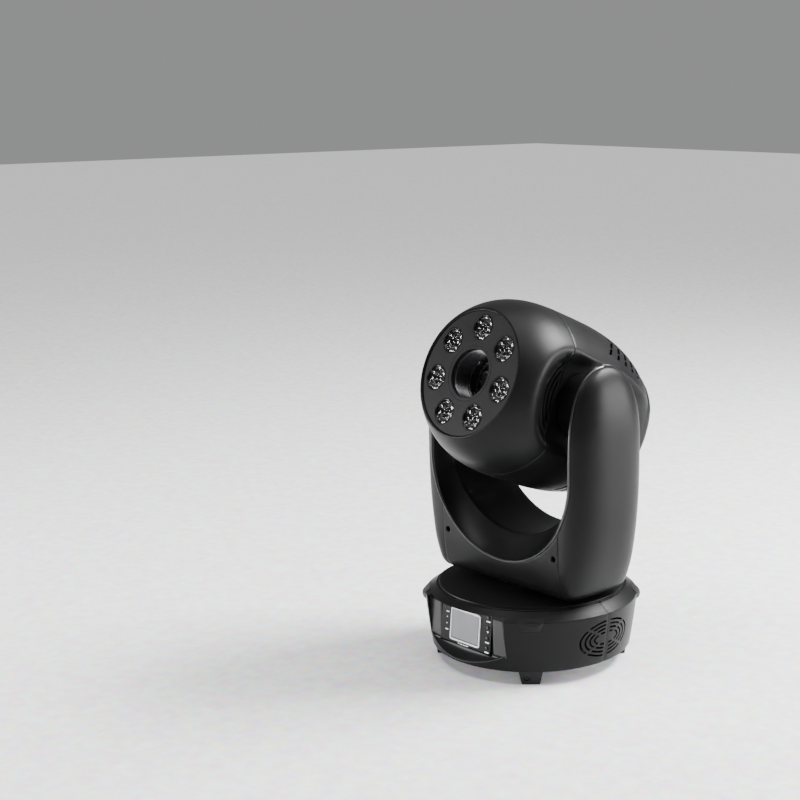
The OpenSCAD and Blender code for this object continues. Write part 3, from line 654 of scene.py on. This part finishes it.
panel_lean = math.radians(5.7)
panel_y, panel_z = -117, 63  # middle of the display panel's face
screen_x, screen_up, screen_wide, screen_high = -1.4, -2.1, 55.0, 42.6
key_x = 40  # column of the keys


def on_panel(u, v, out):
    """Point at u across the display panel, v up it and out in front of its face."""
    level, rise = math.cos(panel_lean), math.sin(panel_lean)
    return (u, panel_y - out * level + v * rise, panel_z + v * level + out * rise)


def rounded_path(wide, high, r, count=8):
    """Points round a rectangle with rounded corners."""
    path = []
    for k, (sx, sz) in enumerate(((1, 1), (-1, 1), (-1, -1), (1, -1))):
        for i in range(count + 1):
            q = math.pi / 2 * (k + i / count)
            path.append((sx * (wide / 2 - r) + r * math.cos(q), sz * (high / 2 - r) + r * math.sin(q)))
    return path


def frame_ring(wide, high, r, section):
    """Closed frame swept round a rounded rectangle; section lists (inset, height) pairs."""
    points = []
    for inset, out in section:
        for u, v in rounded_path(wide - 2 * inset, high - 2 * inset, max(r - inset, 0.3)):
            points.append(on_panel(screen_x + u, screen_up + v, out))
    return points, closed_grid(len(section), len(points) // len(section))


def raised_mark(u, v, wide, high, out=0.16):
    """Thin printed mark with rounded ends."""
    r = min(wide, high) / 2 - 0.02
    outline = rounded_path(wide, high, r, 5)
    n = len(outline)
    points = [on_panel(u + a, v + b, height) for height in (0.02, out) for a, b in outline]
    faces = [tuple(range(n)), tuple(range(2 * n - 1, n - 1, -1))]
    faces += [(i, (i + 1) % n, n + (i + 1) % n, n + i) for i in range(n)]
    return points, faces


def make_display():
    section = [(0, 0.02), (0, 0.8), (0.4, 1.2), (1.5, 1.2), (1.9, 0.8), (1.9, -0.2)]
    piece("screen_bezel", *frame_ring(screen_wide, screen_high, 3, section), "base", ["lcd_bezel"],
          "bezel_white", "white")
    border = [(1.95, -0.25), (1.95, 0.25), (4.4, 0.0), (4.4, -0.6)]
    piece("screen_border", *frame_ring(screen_wide, screen_high, 3, border), "base", [], "panel_black",
          "panel")
    marks = [raised_mark(key_x, v, 7.4, 1.5) for v in (15.2, -12.2, -25.0)]
    marks += [raised_mark(key_x, 1.8, 2.2, 2.2)]
    marks += [raised_mark(-36, v, 5.4, 1.4) for v in (11.0, -12.5)]
    marks += [raised_mark(-36.5, v, 1.5, 1.5) for v in (4, -4.4)]
    marks += [raised_mark(u, -26.0 + 0.25 * math.sin(u), w, 1.1)
              for u, w in ((-12, 3), (-7.4, 4.2), (-2, 3.4), (3.4, 5))]
    piece("panel_marks", *join(marks), "base", [], "bezel_white", "white")
    heights = {"up": 20, "down": 7, "menu": -6.5, "enter": -19.5}
    for word, v in heights.items():
        outline = [(0.02, -3), (3.3, -3), (3.3, -2.4), (2.3, -2.2), (2.3, 0.7), (2.1, 1.15), (1.6, 1.42),
                   (0.9, 1.55), (0.02, 1.6)]
        points, faces = revolve(outline, lambda a, b, out: on_panel(key_x + a, v + b, out), 40)
        piece(f"button_cap_{word}", points, faces, f"{word}_button", [f"button_{word}"], "button_black",
              "button")


make_display()

# ---------- yoke ----------

corner = 12.0  # rounding of the lower edges, seen from the front
shallow = 5.0  # and how far it reaches in from the front and rear
inner_y = -32.0  # where the flare at the front starts
flare_dip = 9  # how far its section sags below a straight line
screw_x, screw_z = 97.7, 160.3  # cover screws
power = 3.2  # squareness of an arm's section


def yoke_w(z):
    if z < 250:
        return yoke_half - 24 * ((250 - z) / 143) ** 2.3
    if z < 300:
        return yoke_half
    return yoke_half - 27 * (1 - math.sqrt(max(0, 1 - ((z - 300) / (arm_top - 299)) ** 2)))


def yoke_d(z):
    if z < 160:
        return 59 - 9 * ((160 - z) / 54) ** 2
    if z < 295:
        return 59 + 3 * min(1, (z - 160) / 100)
    return 62 * max(0, 1 - ((z - 295) / (arm_top - 295)) ** 2.6) ** (1 / 2.6)


def round_z(x, r, z):
    return z - math.sqrt(r * r - x * x)


def lower_edge():
    """Height, and insets from the front and from the side, round the lower edge."""
    turns = [math.radians(15 * k) for k in range(7)]
    return [(yoke_z0 + corner - corner * math.cos(q), shallow * (1 - math.sin(q)),
             corner * (1 - math.sin(q))) for q in turns]


def cover_xs():
    inner = [seam_x - 3 - (2 * seam_x - 6) * k / 84 for k in range(85)]
    return [seam_x - 0.2, seam_x - 0.9] + inner + [-(seam_x - 0.9), -(seam_x - 0.2)]


def face_rows(front):
    """Front or rear face of the yoke with its underside, up to the rim of the trough."""
    rows = []
    sign = -1 if front else 1
    for x in cover_xs():
        top = round_z(x, rim_r, rim_z) if front else round_z(x, trough_r, trough_z)
        low = [(yoke_d(z) - inset, z) for z, inset, _ in lower_edge()]
        row = [(0.2 + (low[0][0] - 0.2) * k / 6, yoke_z0) for k in range(6)] + low
        start = low[-1][1]
        row += [(yoke_d(z), z) for z in [start + (top - 0.4 - start) * k / 16 for k in range(1, 17)]]
        rows.append([(x, sign * y, z) for y, z in row])
    return rows


def screw_cut(side, front):
    """Countersunk hole of one cover screw."""
    s = -1 if front else 1
    face = yoke_d(screw_z)
    outline = [(0.001, -8), (3.4, -8), (3.4, -1.2), (4.5, 0.1), (4.5, 4), (0.001, 4)]
    points, faces = revolve(outline, lambda u, v, a: (side * screw_x + u, s * (face + a), screw_z + v), 32)
    return cutter(points, faces)


def rim_x(z, limit):
    """Sideways place of the rim of an arm, which is limited to its width near the top."""
    return smooth_min(limit, arm_in + 0.75 * (yoke_w(min(z, arm_top)) - arm_in), 3)


def section(z, inset_x, inset_y, x_front, x_rear, count=56):
    """Outer outline of an arm at height z, from its front rim round to its rear rim."""
    wide, deep = yoke_w(z) - inset_x - seam_x, max(yoke_d(z) - inset_y, 0.001)
    turn = [math.acos(min(1, max(0, (x - seam_x) / wide)) ** (power / 2)) for x in (x_front, x_rear)]
    row = []
    for i in range(count + 1):
        q = turn[0] - (turn[0] + turn[1]) * i / count
        x = seam_x + wide * math.cos(q) ** (2 / power)
        y = -math.copysign(abs(math.sin(q)) ** (2 / power), q) * deep
        row.append((x, y))
    return row


def arm_starts(z):
    """Where the outer cover of an arm starts at the front and at the rear, at height z."""
    front = seam_x + 0.2
    if z > rim_z:
        front = rim_x(z, rim_r)
    elif z > round_z(seam_x, rim_r, rim_z):
        front = min(math.sqrt(rim_r ** 2 - (z - rim_z) ** 2), rim_x(z, rim_r))
    rear = seam_x + 0.2
    if z > round_z(seam_x, trough_r, trough_z):
        rear = rim_x(z, rear_rim_x)
        if z < trough_z:
            rear = min(rear, math.sqrt(trough_r ** 2 - (z - trough_z) ** 2))
    return max(front, seam_x + 0.2), max(rear, seam_x + 0.2)


def arm_heights():
    rise = [math.radians(6 * k) for k in range(16)]
    return spread(yoke_z0 + corner, 295, 5)[:-1] + [295 + (arm_top - 295) * math.sin(q) for q in rise]


def arm_cover(side, name, node):
    rows = []
    first = lower_edge()[0]
    for k in range(5):
        row = section(first[0], first[2], first[1], seam_x + 0.2, seam_x + 0.2)
        rows.append([(seam_x + 0.2 + (x - seam_x - 0.2) * k / 5, y, yoke_z0) for x, y in row])
    for z, inset_y, inset_x in lower_edge()[:-1]:
        rows.append([(x, y, z) for x, y in section(z, inset_x, inset_y, seam_x + 0.2, seam_x + 0.2)])
    for z in arm_heights():
        front, rear = arm_starts(z)
        rows.append([(x, y, z) for x, y in section(z, 0, 0, front, rear)])
    rows = [[(side * x, y, z) for x, y, z in row] for row in rows]
    return sheet_piece(name, rows, "yoke", [node], "housing", soft=0.35)


def arm_depth(x, z):
    """Distance of an arm's surface from the middle plane, at x across and height z."""
    wide = max(yoke_w(z) - seam_x, 0.001)
    return yoke_d(z) * (1 - min(1, max(0, (x - seam_x) / wide)) ** power) ** (1 / power)


def rim_path(side, front):
    """Points along one arm's rim, from the seam at the bottom to the top of the arm."""
    low = round_z(seam_x, rim_r, rim_z) if front else round_z(seam_x, trough_r, trough_z)
    path = []
    for z in spread(low, 295, 3)[:-1] + [z for z in arm_heights() if z >= 295]:
        x = arm_starts(z)[0 if front else 1]
        y = arm_depth(x, z)
        path.append((side * x, -y if front else y, z))
    return path


def inner_at(z_rim):
    """Sideways place and height where the flare ends on the inner side of an arm."""
    z = z_rim + 24 * (1 - step((z_rim - 196) / 100))
    x = arm_in
    if z < trough_z:
        x = smooth_min(arm_in, math.sqrt(trough_r ** 2 - (z - trough_z) ** 2), 3)
    return x, z


def lining_ends():
    """Pairs of a point on the front rim and the one where the flare ends, from arm top to arm top."""
    arm = [(p, inner_at(p[2])) for p in rim_path(1, True)]
    pairs = [((-p[0] + 0.3, p[1], p[2]), (-i[0], i[1])) for p, i in reversed(arm)]
    for x in spread(-seam_x + 2, seam_x - 2, 2.6):
        z = round_z(x, rim_r, rim_z)
        pairs.append(((x, -yoke_d(z) + 0.3, z), (x, round_z(x, trough_r, trough_z))))
    return pairs + [((p[0] - 0.3, p[1], p[2]), i) for p, i in arm]


def flatness(rim):
    """1 along the rim, falling to 0 where an arm's top runs out and the lining has no depth left."""
    return min(1, -rim[1] / 50)


def flare_point(rim, inner, t):
    """Point at the part t of the way down the flare."""
    (x, y, z), (x_in, z_in) = rim, inner
    flat = flatness(rim)
    nx, nz = wall_normal(x_in, z_in)
    dip = flare_dip * t * (1 - t) * flat
    return (x + (x_in - x) * t - nx * dip, y + (inner_y * flat - y) * t, z + (z_in - z) * t - nz * dip)


def lining_row(rim, inner):
    """Section of the lining: down the flare, over the seam, along the trough and out over the rear lip."""
    x_in, z_in = inner
    flat = flatness(rim)
    y_in = inner_y * flat
    y_rear = arm_depth(abs(x_in), min(z_in, arm_top))
    nx, nz = wall_normal(x_in, z_in)
    row = [flare_point(rim, inner, k / 12) for k in range(13)]
    groove = 0.9 * flat
    row += [(x_in, y_in + 0.25, z_in), (x_in - nx * groove, y_in + 0.3, z_in - nz * groove),
            (x_in - nx * groove, y_in + 1.0, z_in - nz * groove), (x_in, y_in + 1.1, z_in)]
    stop = y_rear - 4 * flat
    row += [(x_in, y_in + 1.6 + (stop - y_in - 1.6) * k / 14, z_in) for k in range(15)]
    for q in [math.radians(22.5 * k) for k in range(1, 5)]:
        out = 3 * flat * (1 - math.cos(q))
        row.append((x_in - nx * out, stop + 3.8 * flat * math.sin(q), z_in - nz * out))
    return row


def wall_normal(x, z):
    """Direction into the gap from the wall of the trough, in the plane across the yoke."""
    if z >= trough_z or abs(x) > 117.9:
        return (-math.copysign(1, x), 0)
    away = math.hypot(x, trough_z - z)
    return (-x / away, (trough_z - z) / away)


def make_lining():
    rows = [lining_row(rim, inner) for rim, inner in lining_ends()]
    extras, holes = [], []
    for side in (-1, 1):
        hub = [(47.5, 120), (47.5, 118.2), (46, 117.6), (44, 116.2), (42.6, 114), (42, 111), (42, 88.4),
               (41.4, 86.8), (39.8, 86), (14.2, 86), (14.2, 90), (38, 90), (38, 120)]
        extras.append(revolve(hub, lambda u, v, a: (side * a, u, tilt_z + v)))
        for y in (-50, 50):
            points, faces = revolve([(0.001, 105), (2.6, 105), (2.6, 140), (0.001, 140)],
                                    lambda u, v, a: (side * a, y + u, 321 + v), 24)
            holes.append(cutter(points, faces))
    sheet_piece("trough_lining", rows, "yoke", ["arm_panel_left", "arm_panel_right"],
                "housing", soft=0.2, extras=extras, tools=holes)


def make_yoke():
    for front, word in ((True, "front"), (False, "rear")):
        sheet_piece(f"yoke_{word}_cover", face_rows(front), "yoke", [f"yoke_cover_{word}"],
                    "housing", soft=0.4, tools=[screw_cut(s, front) for s in (-1, 1)])
    for side, word in ((-1, "left"), (1, "right")):
        arm_cover(side, f"arm_outer_cover_{word}", f"arm_cover_{word}")
    make_lining()
    rim_bead()
    lip_bead()


def rim_bead():
    right, left = rim_path(1, True), rim_path(-1, True)
    low = [(x, round_z(x, rim_r, rim_z)) for x in spread(-seam_x + 2, seam_x - 2, 3)]
    middle = [(x, -yoke_d(z) + 0.4, z) for x, z in low]
    path = list(reversed(left)) + middle + right
    piece("trough_rim_bead", *tube_along(path, 1.35), "yoke", [], "housing_black", "edge")


def lip_bead():
    """Second bead, 4.2 mm down the flare."""
    lip = []
    for rim, inner in lining_ends():
        run = math.dist(rim, (inner[0], inner_y * flatness(rim), inner[1]))
        lip.append(flare_point(rim, inner, min(0.5, 4.2 / max(run, 1))))
    piece("trough_lip_bead", *tube_along(lip, bead_r), "yoke", [], "housing_black", "edge")


make_yoke()

# ---------- head ----------

def head_w(a):
    if a > 0:
        return head_r * (1 - 0.262 * (a / head_front) ** 3.6)
    return head_r * (1 - 0.235 * (-a / 135) ** 3)


side_x = 83.0  # flat sides of the head
back_r = 14.0  # rounding of the head's back edge
wall = 2.6  # thickness of the head's shells


def ridge_b(a, above):
    """Height of the flat side's edge at a along the beam, above or below its middle."""
    return (50 if above else 58) - 5 * ((a + 20) / (51 if a > -20 else 72)) ** 2


def side_limit(a, b):
    """Reach of the head's side: a flat for the arm's hub, with a slope in front and a ridge above."""
    steep = 1.7 - 0.95 * step(a / 44)
    over = steep * soft_ramp(abs(b) - ridge_b(min(a, 44), b > 0), 3.5)
    ahead = 0.75 * soft_ramp(math.hypot(a, b) - 66, 3) if a > 0 else 0
    return side_x + max(over, ahead) + 0.4 * min(over, ahead)


def head_point(r, a, q, inset=0.0):
    """Point at radius r of the barrel, at the angle q from the upper side."""
    x, b = r * math.sin(q), r * math.cos(q)
    out = abs(x)
    if out > side_x - 20:
        limit = side_limit(a, b) - inset
        x = math.copysign(smooth_min(out, limit, 9 + 5 * step(a / 50)), x)
    return on_beam(x, b, a)


def head_shell(name, outline, stands_for):
    """Shell with the given closed outline of (radius, along, inset) points, from outer surface to inner."""
    count = 288
    points = []
    for r, a, inset in outline:
        for j in range(count):
            points.append(head_point(r, a, 2 * math.pi * j / count, inset))
    faces = closed_grid(len(outline), count)
    return piece(name, points, faces, "head", stands_for, "housing_black", "housing", 40)


def outer_run(a0, a1, size=2.5):
    n = max(2, round(abs(a1 - a0) / size))
    return [(head_w(a0 + (a1 - a0) * i / n), a0 + (a1 - a0) * i / n, 0.0) for i in range(n + 1)]


def inner_run(a0, a1, size=5.0):
    return [(r - wall, a, wall) for r, a, _ in outer_run(a0, a1, size)]


def front_outline():
    lip = [(face_r - 0.2, head_front - 3.5, 0), (face_r - 0.2, head_front - 0.6, 0),
           (face_r, head_front, 0), (face_r + 0.3, head_front, 0)]
    seam = [(head_w(seam_a) - 0.5, seam_a + 0.25, 0.4), (head_w(seam_a) - 1.2, seam_a + 0.2, 1.2)]
    return lip + outer_run(head_front - 1.0, seam_a + 0.8) + seam + inner_run(seam_a + 0.2, head_front - 4)


def rear_outline():
    seam = [(head_w(seam_a) - 1.2, seam_a - 0.2, 1.2), (head_w(seam_a) - 0.4, seam_a - 0.3, 0.4)]
    edge = head_w(-head_back)
    turn = [(edge - back_r + back_r * math.cos(q), -head_back - back_r * math.sin(q), 0.0)
            for q in [math.radians(10 * k) for k in range(1, 10)]]
    flat = [(edge - back_r - 8 * k, -head_back - back_r, 0.0) for k in range(1, 8)]
    back = [(r, a + wall, 0.0) for r, a, _ in reversed(flat)]
    return seam + outer_run(seam_a - 0.8, -head_back) + turn + flat + back + \
        inner_run(-head_back, seam_a - 0.2)


def arc_cutter(r, half, x0, x1, a_min):
    """Ring sector beside the beam, from x0 to x1, for one slot of the flat side."""
    top = math.acos(a_min / r)
    n = 28
    points = []
    for i in range(n + 1):
        q = -top + 2 * top * i / n
        for rr in (r - half, r + half):
            for x in (x0, x1):
                points.append(on_beam(x, rr * math.sin(q), rr * math.cos(q)))
    return cutter(points, bar_faces(n))


def sector_cutter(a, wide, q0, q1, lean=0.0, r0=70, r1=125, n=8):
    """Slot through the barrel from angle q0 to q1; it leans forward by the given amount on the way."""
    points = []
    for i in range(n + 1):
        q = q0 + (q1 - q0) * i / n
        for along in (a, a + wide):
            for r in (r0, r1):
                points.append(on_beam(r * math.sin(q), r * math.cos(q), along + lean * i / n))
    return cutter(points, bar_faces(n))


def spine_slots():
    """Slots above and below the barrel: two runs across it to each side, then two that slant forward."""
    tools = []
    for i in range(6):
        a = -56.5 - 12 * i
        bend, end, lean = 32 + 2.4 * i, 48 + 1.4 * i, 23 - 4.2 * i
        part = 9 / (end - bend)
        runs = ((2, 16, 0, 0), (17.5, bend - 1.5, 0, 0), (bend, bend + 8, 0, lean * (part - 0.05)),
                (bend + 9.5, end, lean * (part + 0.04), lean * (0.96 - part)))
        for up in (0, math.pi):
            for s in (-1, 1):
                for q0, q1, ahead, slant in runs:
                    start, stop = up + s * math.radians(q0), up + s * math.radians(q1)
                    tools.append(sector_cutter(a + ahead, 5, start, stop, slant))
    return tools


def make_head():
    front = head_shell("head_front_shell", front_outline(), ["head_shell_front"])
    cut(front, [arc_cutter(r, 1.2, s * 78, s * 110, seam_a + 3) for r in (50.5, 57, 63.5) for s in (-1, 1)])
    rear = head_shell("head_rear_shell", rear_outline(), ["head_shell_rear"])
    cut(rear, spine_slots())


make_head()


# ---------- optics ----------

lens_r, led_r, led_ring = 31.0, 16.5, 58.9
plate_a = 116.0  # front of the face plate


def beam_turn(outline, centre=(0, 0), count=96):
    """Outline of (radius, along) turned about a line parallel to the beam through centre, (across, up)."""
    return revolve(outline, lambda u, v, a: on_beam(centre[0] + u, centre[1] + v, a), count)


def led_centres():
    turns = [2 * math.pi * i / 7 for i in range(7)]
    return [(led_ring * math.sin(q), led_ring * math.cos(q)) for q in turns]


def make_face():
    plate = [(lens_r + 0.2, 112), (80.3, 112), (80.3, plate_a - 0.4), (79.9, plate_a), (36.6, plate_a),
             (36.2, plate_a - 0.35), (35.6, plate_a - 0.35), (35.2, plate_a), (lens_r + 1.0, plate_a),
             (lens_r + 0.2, plate_a - 0.7)]
    o = piece("face_disc", *beam_turn(plate, count=160), "head", ["face_plate"], "housing_black", "face",
              30)
    cut(o, [cutter(*beam_turn([(0.001, 108), (led_r + 0.1, 108), (led_r + 0.1, plate_a - 0.5),
                               (led_r + 0.9, plate_a + 0.4), (led_r + 0.9, 125), (0.001, 125)], c, 64))
            for c in led_centres()])
    o.data.set_sharp_from_angle(angle=math.radians(30))
    ring = [(80.6, 112), (83.3, 112), (83.3, 117.2), (82.9, 117.9), (82.3, 118), (81.8, 117.5),
            (81.5, 116.7), (81.2, 116.5), (80.9, 117.1), (80.6, 117.0)]
    piece("face_rim", *beam_turn(ring, count=200), "head", ["face_ring"], "housing_black", "housing")


def make_leds():
    cups, optics, chips, bases = [], [], [], []
    for c in led_centres():
        cups.append(beam_turn([(led_r - 0.1, 100), (led_r - 0.1, 115.8), (led_r - 0.3, 116.3),
                               (led_r - 0.8, 116.3), (led_r - 1.1, 115.8), (led_r - 1.5, 111.8),
                               (led_r - 1.5, 110.6), (7.2, 100.8), (6.8, 100)], c, 64))
        outline = [(0.02, 103.6), (3.0, 103.0), (3.6, 101.5), (3.8, 98.9), (4.9, 98.9), (7.4, 101.2),
                   (10, 104.4), (12.2, 108), (13.6, 111.6), (15.0, 112.2), (15.0, 113.4), (13.4, 113.8),
                   (12.4, 113.0), (9.6, 112.9), (8.4, 113.8), (7.2, 113.9), (6.0, 112.4), (4.2, 112.0),
                   (3.2, 113.2), (1.6, 114.0), (0.02, 114.2)]
        points, faces = beam_turn(outline, c, 72)
        optics.append((petals(points, 72), faces))
        bases.append(beam_turn([(0.02, 97.7), (4.6, 97.7), (4.6, 98.3), (0.02, 98.3)], c, 6))
        chips.append(beam_turn([(0.02, 98.35), (2.4, 98.35), (2.3, 99.2), (1.6, 100.0), (0.02, 100.3)],
                               c, 32))
    piece("led_cup_set", *join(cups), "head", ["led_cups"], "inner_black", "cup")
    piece("led_optic_set", *join(optics), "head", ["led_lenses"], "lens_glass", "optic", 30)
    piece("led_package_set", *join(bases), "head", [], "circuit_board", "ceramic")
    piece("led_dome_set", *join(chips), "head", [], "circuit_board", "chip")


def petals(points, count):
    """Eight shallow flutes round the outer half of an optic's front."""
    out = []
    for i, p in enumerate(points):
        row, k = divmod(i, count)
        if 12 <= row <= 16:
            lift = 0.45 * math.cos(8 * 2 * math.pi * k / count)
            p = (p[0], p[1] + beam_y * lift, p[2] + beam_z * lift)
        out.append(p)
    return out


def make_barrel():
    outline = [(lens_r + 2.4, 52), (lens_r + 2.4, 111.8), (lens_r + 0.1, 111.8)]
    for k in range(9):
        a = 109.5 - 2.6 * k
        outline += [(lens_r - 0.1, a), (lens_r - 1.5, a - 0.7), (lens_r - 1.5, a - 1.1),
                    (lens_r - 0.1, a - 1.5)]
    outline += [(lens_r - 0.1, 84.6), (lens_r - 3, 84.0), (lens_r - 3, 81.4), (lens_r - 0.1, 81),
                (lens_r - 0.1, 52)]
    flange = [(lens_r + 12, 52), (lens_r + 12, 54), (lens_r + 2.6, 54), (lens_r + 2.6, 52)]
    parts = [beam_turn(outline, count=128), beam_turn(flange, count=96)]
    piece("lens_barrel_tube", *join(parts), "head", ["lens_barrel"], "inner_black", "barrel", 30)
    bulge, r = 6.0, lens_r - 3.2
    big = (r * r + bulge * bulge) / (2 * bulge)
    dome = [(max(r * k / 12, 0.02), 76 + math.sqrt(big ** 2 - (r * k / 12) ** 2) - (big - bulge) - 4.0)
            for k in range(13)]
    back = [(x, 2 * 71.0 - a) for x, a in reversed(dome)]
    shape = dome + [(r, 72), (lens_r - 0.3, 72), (lens_r - 0.3, 70), (r, 70)] + back
    piece("main_lens", *beam_turn(shape, count=96), "head", ["front_lens"], "lens_glass", "glass", 40)
    slats = []
    for i in range(8):
        v = -24.5 + 7 * i
        half = math.sqrt((lens_r - 1) ** 2 - v * v)
        points = []
        for k in range(17):
            u = half * (k / 8 - 1)
            arch = 1.5 * (1 - (u / half) ** 2)
            for up, along in ((0, 66), (0.9, 66), (-1.6, 56), (-2.5, 56)):
                points.append(on_beam(u, v + arch + up, along))
        faces = closed_grid(17, 4, wrap_rows=False)
        slats.append((points, faces + [(3, 2, 1, 0), (64, 65, 66, 67)]))
    piece("lens_louvres", *join(slats), "head", [], "inner_black", "barrel", 30)
    ring = [(lens_r - 3.1, 85.2), (lens_r - 3.1, 86.6), (lens_r - 1.7, 86.9), (lens_r - 1.7, 84.9)]
    piece("lens_retaining_ring", *beam_turn(ring, count=96), "head", [], "connector_metal", "nickel")


make_face()
make_leds()
make_barrel()

# ---------- camera, light, floor ----------

def look_from(azimuth, elevation, distance, target):
    az, el = math.radians(azimuth), math.radians(elevation)
    back = Vector((math.sin(az) * math.cos(el), -math.cos(az) * math.cos(el), math.sin(el)))
    data = bpy.data.cameras.new("camera")
    cam = new_object("camera", data)
    cam.location = target + back * distance
    cam.rotation_euler = (-back).to_track_quat("-Z", "Y").to_euler()
    data.lens = 71.3
    data.sensor_width = 36
    data.shift_x = -0.164
    data.shift_y = 0.095
    bpy.context.scene.camera = cam


look_from(45.2, 14.1, 2.063, Vector((0, 0, 0.24)))


def softbox(name, place, target, size, watts):
    data = bpy.data.lights.new(name, "AREA")
    data.shape = "RECTANGLE"
    data.size, data.size_y = size
    data.energy = watts
    o = new_object(name, data)
    o.location = place
    o.rotation_euler = (Vector(target) - Vector(place)).to_track_quat("-Z", "Y").to_euler()


softbox("left_front", (-1.5, -1.45, 0.32), (0, 0, 0.2), (0.8, 0.6), 60)
softbox("top_front", (-0.3, -1.0, 2.3), (0, 0, 0.3), (0.7, 0.6), 30)
softbox("side", (1.45, 1.45, 0.62), (0, 0, 0.32), (0.6, 0.8), 46)
softbox("back_top", (0.8, 1.5, 2.0), (0, 0, 0.35), (1.2, 0.7), 200)

sun = bpy.data.lights.new("sky", "SUN")
sun.energy = 2.2
sun.angle = math.radians(60)
sky = new_object("sky", sun)
sky.rotation_euler = (math.radians(-12), math.radians(10), 0)

world = bpy.data.worlds.new("studio")
world.use_nodes = True
set_inputs(world.node_tree.nodes["Background"], Color=(0.97, 0.975, 0.98, 1), Strength=0.3)
bpy.context.scene.world = world

floor_mesh = bpy.data.meshes.new("floor")
half = 12.0  # metres
floor_mesh.from_pydata([(-half, -half, 0), (half, -half, 0), (half, half, 0), (-half, half, 0)], [],
                       [(0, 1, 2, 3)])
floor = new_object("floor", floor_mesh)
floor_mesh.materials.append(plastic("pale_floor", (0.82, 0.82, 0.82), rough=0.6, grain=60, bump=0.0,
                                    vary=0.01))
